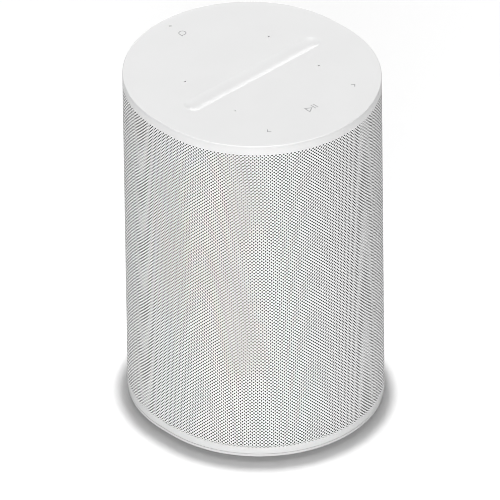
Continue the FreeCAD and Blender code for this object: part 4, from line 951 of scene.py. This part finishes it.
def strokeMesh(name, strokes, width, low, high, finish, turn=None, offset=(0, 0, 0)):
    # thin raised lines: each stroke is a run of (x, y) points, mitred at its corners and given square
    # edges from low to high; a stroke whose ends meet is closed
    points, faces, start = [], [], 0
    for stroke in strokes:
        line = np.array(stroke, float)
        looped = bool(np.allclose(line[0], line[-1]))
        if looped:
            line = line[:-1]
        ahead = np.roll(line, -1, axis=0) - line
        if not looped:
            ahead[-1] = ahead[-2]
        ahead /= np.linalg.norm(ahead, axis=1)[:, None]
        behind = np.roll(ahead, 1, axis=0)
        if not looped:
            behind[0] = ahead[0]
        tangent = ahead + behind
        tangent /= np.linalg.norm(tangent, axis=1)[:, None]
        stretch = 1 / np.maximum((tangent * ahead).sum(axis=1), 0.5)
        side = np.stack([-tangent[:, 1], tangent[:, 0]], axis=-1) * (0.5 * width * stretch)[:, None]
        n = len(line)
        level = np.ones((n, 1))
        corners = [np.hstack([line - side, level * low]), np.hstack([line + side, level * low]),
                   np.hstack([line + side, level * high]), np.hstack([line - side, level * high])]
        points += corners
        index = np.arange(n if looped else n - 1)
        following = (index + 1) % n
        for k in range(4):
            a, b = start + k * n, start + ((k + 1) % 4) * n
            faces.append(np.stack([a + index, b + index, b + following, a + following], axis=-1))
        if not looped:
            ends = start + np.arange(4) * n
            faces.append(ends[::-1][None, :])
            faces.append((ends + n - 1)[None, :])
        start += 4 * n
    points = np.concatenate(points)
    if turn is not None:
        points = points @ np.array(turn).T
    return makeMesh(name, points + np.array(offset), faces, [finish])


def arcPoints(middle, radius, first, last, steps):
    angles = np.radians(np.linspace(first, last, steps))
    return [(middle[0] + radius * math.cos(a), middle[1] + radius * math.sin(a)) for a in angles]


icons = {
    "line": 0.42 * mm,
    "raise": 0.03 * mm,
    "playPlace": (0.0, -41.0 * mm),
    "skipAcross": 28.0 * mm,
    "voicePlace": (0.0, 48.5 * mm),
    "size": 1.0 * mm,
}


def makeIcons():
    # touch marks: a play triangle with two pause bars, a skip chevron each side, and a
    # speech bubble at the back
    unit = icons["size"]
    x, y = icons["playPlace"]
    strokes = [[(x - 2.6 * unit, y - 1.8 * unit), (x - 2.6 * unit, y + 1.8 * unit), (x + 0.4 * unit, y),
                (x - 2.6 * unit, y - 1.8 * unit)]]
    for step in (1.5, 2.9):
        strokes.append([(x + step * unit, y - 1.8 * unit), (x + step * unit, y + 1.8 * unit)])
    for side in (-1, 1):
        tip = side * (icons["skipAcross"] + 0.7 * unit)
        strokes.append([(tip - side * 1.3 * unit, y - 1.3 * unit), (tip, y),
                        (tip - side * 1.3 * unit, y + 1.3 * unit)])
    x, y = icons["voicePlace"]
    bubble = arcPoints((x, y), 1.7 * unit, -120, 190, 28)
    bubble += [(x - 1.9 * unit, y - 1.8 * unit), bubble[0]]
    strokes.append(bubble)
    return strokeMesh("touchIcons", strokes, icons["line"], caseTop - 0.05 * mm,
                      caseTop + icons["raise"], "iconInk")


baseCover = {
    "lip": 1.5 * mm, "edge": 0.3 * mm, "spigot": 57.6 * mm, "inside": 55.4 * mm, "height": 8.5 * mm,
    "floor": 3.0 * mm, "groove": (45.0 * mm, 54.5 * mm, 1.0 * mm), "around": 256,
    "screws": ((32.0, -22.0), (32.0, 8.0)), "counterbore": (3.1 * mm, 2.0 * mm), "shank": 1.7 * mm,
}


def makeBaseCover():
    # a shallow tray: outer lip, spigot, flat floor and a groove underneath for the foot
    size = baseCover
    low, inGroove, outGroove = baseLine, size["groove"][0], size["groove"][1]
    roof = low + size["groove"][2]
    corners = [
        (0.0, low), (inGroove, low), (inGroove, roof), (outGroove, roof), (outGroove, low),
        (caseRadius, low), (caseRadius, low + size["lip"]), (size["spigot"], low + size["lip"]),
        (size["spigot"], low + size["height"]), (size["inside"], low + size["height"]),
        (size["inside"], low + size["floor"]), (0.0, low + size["floor"]),
    ]
    rounds = [0, 0.15, 0, 0, 0.15, size["edge"] / mm, 0.12, 0, 0.4, 0.4, 1.2, 0]
    profile = roundedProfile(corners, [r * mm for r in rounds])
    profile[0] = (0.0, low)
    rings = [ovalRing(size["around"], max(r, 0.0), caseRun, z, walk=caseRadius) for r, z in profile]
    cover = makeMesh("baseCover", np.concatenate(rings), [gridFaces(len(rings), size["around"])],
                     ["shellWhite"])
    weldSeams(cover)
    top = low + size["floor"]
    insertLow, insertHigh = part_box("mount_insert")
    insertRadius, shellTop = insertHigh.x, low + size["height"] + 1 * mm
    cutters, posts = [], []
    radius, depth = size["counterbore"]
    for x, y in [(side * x, y) for side in (-1, 1) for x, y in size["screws"]]:
        spot = (x * mm, y * mm, 0)
        bore = [(radius + 0.3 * mm, low - 0.02 * mm), (radius, low + 0.28 * mm), (radius, low + depth),
                (size["shank"], low + depth), (size["shank"], top + 1 * mm)]
        cutters.append(turnedPiece("bore", bore, 32, "shellWhite", offset=spot))
        tube = [(size["shank"], top - 0.1 * mm), (4.0 * mm, top - 0.1 * mm),
                (4.0 * mm, shellTop - 0.3 * mm),
                (3.7 * mm, shellTop), (size["shank"], shellTop)]
        posts.append(ringShell("post", [ovalRing(32, r, 0, z, middle=spot[:2]) for r, z in tube],
                               "shellWhite"))
    mouth = [(insertRadius - 0.6 * mm, low - 0.1 * mm), (insertRadius - 0.6 * mm, insertLow.z),
             (insertRadius, insertLow.z), (insertRadius, top + 1 * mm)]
    cutters.append(turnedPiece("mouth", mouth, 48, "shellWhite"))
    boss = [(insertRadius, top - 0.1 * mm), (8.0 * mm, top - 0.1 * mm), (8.0 * mm, shellTop - 0.4 * mm),
            (7.6 * mm, shellTop), (insertRadius, shellTop)]
    posts.append(ringShell("boss", [ovalRing(48, r, 0, z) for r, z in boss], "shellWhite"))
    return joinPieces("baseCover", [cutWith(cover, cutters)] + posts)


footRing = {"around": 256, "edge": 0.6 * mm, "grooves": 3, "grooveDepth": 0.35 * mm,
            "grooveWidth": 0.9 * mm}


def makeFootRing():
    low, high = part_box("foot_ring")
    outside, inside = high.x, baseCover["groove"][0]
    corners, rounds = [(inside, high.z), (inside, low.z)], [0.15 * mm, footRing["edge"]]
    half = footRing["grooveWidth"] / 2
    for k in range(footRing["grooves"]):
        middle = inside + (outside - inside) * (k + 1) / (footRing["grooves"] + 1)
        depth = low.z + footRing["grooveDepth"]
        corners += [(middle - half, low.z), (middle - half * 0.5, depth), (middle + half * 0.5, depth),
                    (middle + half, low.z)]
        rounds += [0.12 * mm] * 4
    corners += [(outside, low.z), (outside, high.z)]
    rounds += [footRing["edge"], 0.15 * mm]
    return closedLoft("footRing", corners[::-1], rounds[::-1], caseRun, footRing["around"], ["footRubber"],
                      walk=outside, steps=3)


threadedInsert = {"major": 3.175 * mm, "pitch": 1.27 * mm, "depth": 0.5 * mm, "around": 48, "perTurn": 12}


def makeInsert():
    # a brass insert: inside, the radius follows a triangle wave of height less turn, which is a screw thread
    low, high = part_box("mount_insert")
    outer, major = high.x, threadedInsert["major"]
    size = threadedInsert
    rows = int((high.z - low.z) / size["pitch"] * size["perTurn"])
    turn = np.arange(size["around"]) / size["around"]
    rings = []
    for level in np.linspace(high.z, low.z, rows):
        wave = np.abs(np.mod(level / size["pitch"] - turn, 1) * 2 - 1)
        lead = np.minimum(1, min(level - low.z, high.z - level) / (0.6 * mm))
        radius = major - size["depth"] * np.clip(1.5 - 2 * wave, 0, 1) * lead
        rings.append(np.stack([radius * np.cos(turn * math.tau), radius * np.sin(turn * math.tau),
                               np.full(len(turn), level)], axis=-1))
    for radius, level in ((outer - 0.4 * mm, low.z), (outer, low.z + 0.4 * mm), (outer, high.z - 0.3 * mm),
                          (outer - 0.3 * mm, high.z)):
        rings.append(np.stack([radius * np.cos(turn * math.tau), radius * np.sin(turn * math.tau),
                               np.full(len(turn), level)], axis=-1))
    return ringShell("mountInsert", rings, "brass", 50)


# the rear panel and its controls are drawn facing +Z and then stood up to face out of the back
panelTurn = ((-1, 0, 0), (0, 0, 1), (0, 1, 0))
panelBack = panelHigh.y - 4.7 * mm
panelMiddle = 0.5 * (panelLow.z + panelHigh.z)
panelOrigin = (0, panelBack, panelMiddle)
rearPanel = {
    "radius": 11.0 * mm, "run": 27.0 * mm, "flange": 14.0 * mm, "flangeThick": 2.0 * mm, "bevel": 0.5 * mm,
    "keyHole": 4.9 * mm, "slot": (1.8 * mm, 1.6 * mm), "usb": (1.66 * mm, 2.84 * mm),
    "inlet": (5.72 * mm, 4.0 * mm),
    "mouth": 0.3 * mm, "around": 160, "posts": (10.0, 33.0, -9.5, 2.2, 6.0),
}


def panelPlace(node):
    # a node's middle on the panel: to the right as seen from behind, upwards, and how far out it reaches
    low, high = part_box(node)
    middle = 0.5 * (low + high)
    return -middle.x, middle.z - panelMiddle, high.y - panelBack, low.y - panelBack


def makeRearPanel():
    size = rearPanel
    out = panelHigh.y - panelBack
    corners = [(size["flange"], 0), (size["flange"], size["flangeThick"]),
               (size["radius"], size["flangeThick"]),
               (size["radius"], out), (size["radius"] - 2 * mm, out)]
    profile = roundedProfile(corners, [0, 0.2 * mm, 0.2 * mm, size["bevel"], 0])
    plate = turnedPiece("rearPanel", profile, size["around"], "shellWhite", run=size["run"])
    cutters = []
    for (radius, run), node in (((size["keyHole"], 0), "bluetooth_button"), (size["slot"], "mic_switch"),
                                (size["usb"], "usb_c_receptacle"), (size["inlet"], "power_inlet")):
        side, up = panelPlace(node)[:2]
        if node == "mic_switch":
            side = 0.0                       # the slot is centred, its knob rests at one end
        mouth = size["mouth"]
        profile = [(radius, -1 * mm), (radius, out - mouth), (radius + mouth, out + 0.01 * mm),
                   (radius + mouth, out + 1 * mm)]
        cutters.append(turnedPiece("mouth", profile, 64, "shellWhite", run=run, along="x",
                                   offset=(side, up, 0)))
    plate = cutWith(plate, cutters)
    shells = [plate]
    across, high, low, radius, depth = (v * mm for v in size["posts"])
    for x in (-across, across):
        for y in (high, low):
            section = [(0.9 * mm, -depth), (radius, -depth), (radius, 0.1 * mm), (0.9 * mm, 0.1 * mm)]
            shells.append(ringShell("post", [ovalRing(24, r, 0, z, middle=(x, y)) for r, z in section],
                                    "shellWhite"))
    return standUp(joinPieces("rearPanel", shells))


panelBorder = {"inside": 11.3 * mm, "proud": 0.05 * mm, "depth": 1.6 * mm, "round": 0.2 * mm}


def makePanelBorder():
    # a pill-shaped border that follows the sleeve's round back: its section is carried round the
    # pill, and each point then moves out to the sleeve's circle at its own distance from the middle
    size = panelBorder
    inside, outside = size["inside"], size["inside"] + sleeve["borderWidth"]
    corners = [(inside, -size["depth"]), (outside, -size["depth"]), (outside, size["proud"]),
               (inside, size["proud"])]
    section = []
    for i, corner in enumerate(corners):
        rounding = size["round"] if i > 1 else 0
        section += bend(corner, corners[i - 1], corners[(i + 1) % 4], rounding, 5) if rounding else [corner]
    rings = []
    for radius, rise in section:
        ring = ovalRing(rearPanel["around"], radius, rearPanel["run"], 0, walk=inside)
        out = np.sqrt(caseRadius ** 2 - ring[:, 0] ** 2) * (caseRadius + rise) / caseRadius
        ring[:, 2] = caseRun + out - panelBack
        rings.append(ring)
    return standUp(ringShell("panelBorder", rings, "sleeveWhite"))


def standUp(piece):
    # turns a piece drawn facing up so that it faces out of the back, in its mesh
    turn = Matrix(panelTurn).to_4x4()
    turn.translation = Vector(panelOrigin)
    piece.data.transform(turn)
    piece.data.update()
    return piece


backButton = {"crown": 4.5 * mm, "flange": 5.6 * mm, "flangeThick": 1.2 * mm, "round": 0.45 * mm,
              "dish": 0.12 * mm}


def makeBackButton():
    # a round key with a faint dish and printed wireless arcs
    side, up, out, _ = panelPlace("bluetooth_button")
    size = backButton
    corners = [(size["flange"], -size["flangeThick"]), (size["flange"], 0), (size["crown"], 0),
               (size["crown"], out),
               (size["crown"] - 1.2 * mm, out)]
    profile = roundedProfile(corners, [0, 0.15 * mm, 0.15 * mm, size["round"], 0])
    for share in (0.75, 0.5, 0.25, 0.02):
        profile.append(((size["crown"] - 1.2 * mm) * share, out - size["dish"] * (1 - share ** 2)))
    key = turnedPiece("backButton", profile, 72, "controlWhite", offset=(side, up, 0))
    waves = [arcPoints((side - 1.1 * mm, up), r * mm, -48, 48, 10) for r in (1.0, 2.0, 3.0)]
    waves.append(arcPoints((side - 1.1 * mm, up), 0.16 * mm, 0, 360, 9))
    ink = strokeMesh("waves", waves, 0.34 * mm, out - 0.3 * mm, out, "iconInk")
    return standUp(joinPieces("backButton", [key, ink]))


def slabRings(halfX, halfY, corner, profile, middle=(0.0, 0.0), steps=5):
    # rings of a rectangle with rounded corners; the profile gives (inset, level) pairs
    angles = np.concatenate([np.linspace(q, q + 90, steps) for q in (0, 90, 180, 270)])
    sign = np.repeat([[1, 1], [-1, 1], [-1, -1], [1, -1]], steps, axis=0)
    direction = np.stack([np.cos(np.radians(angles)), np.sin(np.radians(angles))], axis=-1)
    rings = []
    for inset, level in profile:
        radius = max(corner - inset, 1e-5)
        flat = sign * (np.array([halfX, halfY]) - inset - radius) + direction * radius + np.array(middle)
        rings.append(np.hstack([flat, np.full((len(flat), 1), level)]))
    return rings


def slab(name, halfX, halfY, low, high, corner, edge, finish, middle=(0.0, 0.0), steps=5):
    # a rectangular block with rounded corners and rounded upper and lower edges
    turns = np.linspace(0, math.pi / 2, 4)
    profile = [(edge * (1 - math.sin(t)), low + edge * (1 - math.cos(t))) for t in turns]
    profile += [(edge * (1 - math.cos(t)), high - edge * (1 - math.sin(t))) for t in turns]
    rings = slabRings(halfX, halfY, corner, profile, middle, steps)
    count = len(rings[0])
    points = np.concatenate(rings + [[[middle[0], middle[1], low], [middle[0], middle[1], high]]])
    bottom, top = np.arange(count), np.arange(count) + (len(rings) - 1) * count
    faces = [gridFaces(len(rings), count), capFan(bottom, len(points) - 2, flip=True),
             capFan(top, len(points) - 1)]
    return makeMesh(name, points, faces, [finish])


micKnob = {"half": (1.6 * mm, 1.4 * mm), "plate": (5.2 * mm, 2.6 * mm, -1.2 * mm, -0.2 * mm), "ridges": 3}


def makeMicKnob():
    # the slider: a thin plate behind the panel, a rounded knob, and grip ridges across it
    side, up, out, _ = panelPlace("mic_switch")
    halfX, halfY = micKnob["half"]
    plateX, plateY, low, high = micKnob["plate"]
    knobTop = out - 0.25 * mm
    shells = [slab("plate", plateX, plateY, low, high, 0.5 * mm, 0.15 * mm, "controlWhite", (side, up))]
    profile = roundedProfile([(halfY, high - 0.05 * mm), (halfY, knobTop), (halfY * 0.2, knobTop)],
                             [0, 0.3 * mm, 0])
    shells.append(turnedPiece("knob", profile, 48, "controlWhite", run=halfX - halfY, along="x",
                              offset=(side, up, 0)))
    for k in range(micKnob["ridges"]):
        x = side + (k - 1) * 0.75 * mm
        shells.append(slab("ridge", 0.17 * mm, 0.85 * mm, knobTop - 0.1 * mm, out, 0.16 * mm, 0.1 * mm,
                           "controlWhite", (x, up), 3))
    return standUp(joinPieces("micSlider", shells))


usbPort = {"round": 1.63 * mm, "run": 2.84 * mm, "wall": 0.35 * mm, "depth": 6.2 * mm, "contacts": 12}


def makeUsbPort():
    # a drawn steel shell with a rolled mouth, and a tongue with gold contacts on both faces
    side, up, out, back = panelPlace("usb_c_receptacle")
    size = usbPort
    bore = size["round"] - size["wall"]
    corners = [(size["round"], back), (size["round"], out), (bore, out), (bore, out - size["depth"]),
               (0.1 * mm, out - size["depth"])]
    profile = roundedProfile(corners, [0, 0.12 * mm, 0.12 * mm, 0, 0])
    shell = turnedPiece("shell", profile, 64, "socketSteel", run=size["run"], along="x",
                        offset=(side, up, 0))
    low, high = out - size["depth"] - 0.1 * mm, out - 0.7 * mm
    pieces = [shell, slab("tongue", 3.35 * mm, 0.35 * mm, low, high, 0.12 * mm, 0.08 * mm,
                          "socketBlack", (side, up), 3)]
    for k in range(size["contacts"]):
        x = side + (k - (size["contacts"] - 1) / 2) * 0.5 * mm
        pieces.append(slab("contact", 0.13 * mm, 0.38 * mm, low, high - 0.5 * mm, 0.04 * mm, 0.03 * mm,
                           "brass", (x, up), 2))
    return standUp(joinPieces("usbPort", pieces))


powerInlet = {"round": 5.7 * mm, "run": 4.0 * mm, "socket": 4.2 * mm, "floor": -7.5 * mm, "lead": 0.5 * mm}


def makePowerInlet():
    # the mains socket: a shroud with a rounded lip and a chamfered mouth
    side, up, out, back = panelPlace("power_inlet")
    size = powerInlet
    corners = [(size["round"], back), (size["round"], out), (size["socket"] + size["lead"], out),
               (size["socket"], out - size["lead"]), (size["socket"], size["floor"]),
               (1.0 * mm, size["floor"])]
    profile = roundedProfile(corners, [0, 0.35 * mm, 0.1 * mm, 0.1 * mm, 0.3 * mm, 0])
    shroud = turnedPiece("shroud", profile, 96, "socketBlack", run=size["run"], along="x",
                         offset=(side, up, 0))
    return standUp(joinPieces("powerInlet", [shroud]))


def makeInletPins():
    # two pins with domed tips, as turned profiles
    low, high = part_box("inlet_pins")
    radius = 0.5 * (high.z - low.z)
    out, back = high.y - panelBack, low.y - panelBack
    up = 0.5 * (low.z + high.z) - panelMiddle
    pins = []
    for x in (-high.x + radius, high.x - radius):
        profile = [(radius, back), (radius, out - radius)]
        profile += [(radius * math.cos(t),
                     out - radius + radius * math.sin(t)) for t in np.linspace(0, 1.5, 8)[1:]]
        pins.append(turnedPiece("pin", profile, 32, "tinPlate", offset=(x, up, 0)))
    return standUp(joinPieces("inletPins", pins))


panelIcons = {"line": 0.3 * mm}


def makePanelIcons():
    # small printed marks on the rear panel: a microphone by the slider
    out = panelHigh.y - panelBack
    _, micUp, _, _ = panelPlace("mic_switch")
    x, y = -7.0 * mm, micUp
    strokes = [arcPoints((x, y + 0.45 * mm), 0.5 * mm, 0, 180, 9) + arcPoints((x, y - 0.25 * mm),
                                                                              0.5 * mm, 180, 360, 9)
               + [(x + 0.5 * mm, y + 0.45 * mm)]]
    strokes.append(arcPoints((x, y - 0.25 * mm), 0.95 * mm, 180, 360, 13))
    strokes.append([(x, y - 1.2 * mm), (x, y - 1.75 * mm)])
    strokes.append([(x - 0.6 * mm, y - 1.75 * mm), (x + 0.6 * mm, y - 1.75 * mm)])
    marks = strokeMesh("panelIcons", strokes, panelIcons["line"], out - 0.1 * mm, out + 0.02 * mm,
                       "iconInk")
    return standUp(marks)


for piece, body, slotName, replaced in (
    (makeTopCap(), "housing", "shell_white", ["top_cap"]),
    (makeIcons(), "housing", "shell_white", []),
    (makeBaseCover(), "housing", "shell_white", ["base_cover"]),
    (makeFootRing(), "housing", "foot_rubber", ["foot_ring"]),
    (makeInsert(), "housing", "brass", ["mount_insert"]),
    (makeRearPanel(), "housing", "shell_white", ["rear_panel"]),
    (makePanelBorder(), "housing", "sleeve_white", []),
    (makePanelIcons(), "housing", "shell_white", []),
    (makeBackButton(), "bluetooth_key", "control_white", ["bluetooth_button"]),
    (makeMicKnob(), "mic_slider", "control_white", ["mic_switch"]),
    (makeUsbPort(), "housing", "steel", ["usb_c_receptacle"]),
    (makePowerInlet(), "housing", "socket_black", ["power_inlet"]),
    (makeInletPins(), "housing", "steel", ["inlet_pins"]),
):
    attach(piece, body)
    if replaced:
        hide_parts(*replaced)
    print("made", piece.name, len(piece.data.polygons), "faces")


# the finish of every piece that keeps its own shape
nodeFinish = {
    "acousticCloth": ["acoustic_mesh"],
    "cabinetBlack": ["front_cabinet", "cabinet_back", "rear_housing", "left_tweeter_waveguide",
                     "right_tweeter_waveguide"],
    "sealFoam": ["cabinet_gasket", "woofer_gasket", "left_tweeter_gasket", "right_tweeter_gasket",
                 "microphone_seals"],
    "boardGreen": ["io_board", "main_board", "power_board", "touch_board"],
    "socketBlack": ["tact_switch", "slide_switch_case"],
    "powderCoat": ["woofer_basket", "woofer_yoke"],
    "zincSteel": ["woofer_top_plate", "case_screws", "seam_screws", "board_screws", "woofer_screws",
                  "tweeter_screws"],
    "ferrite": ["woofer_magnet"],
    "copperCoil": ["woofer_voice_coil"],
    "conePaper": ["woofer_cone"],
    "spiderCloth": ["woofer_spider"],
    "domeSilk": ["woofer_dust_cap", "left_tweeter_dome", "right_tweeter_dome"],
    "surroundRubber": ["woofer_surround"],
    "motorSteel": ["left_tweeter_motor", "right_tweeter_motor"],
    "tinPlate": ["shield_can", "microphones"],
    "chipBlack": ["amplifier_chip"],
    "aluminium": ["heat_sink"],
    "tapeYellow": ["transformer"],
    "canSleeve": ["capacitors"],
    "copperToroid": ["input_choke"],
    "leadRed": ["internal_leads"],
    "flexAmber": ["io_ribbon", "wifi_antennas", "touch_flex_cable"],
    "ledPhosphor": ["status_led"],
    "clearPipe": ["led_light_pipe"],
    "dampingFoam": ["damping_foam"],
}


def finishNodes():
    hidden = {"grille_shell", "top_cap", "base_cover", "foot_ring", "mount_insert", "rear_panel",
              "bluetooth_button",
              "mic_switch", "usb_c_receptacle", "power_inlet", "inlet_pins"}
    done = set()
    for finish, names in nodeFinish.items():
        for name in names:
            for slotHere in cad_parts[name].material_slots:
                slotHere.material = materials[finish]
            done.add(name)
    left = set(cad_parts) - done - hidden
    print("finished", len(done), "carried pieces; without a finish:", sorted(left) or "none")


finishNodes()
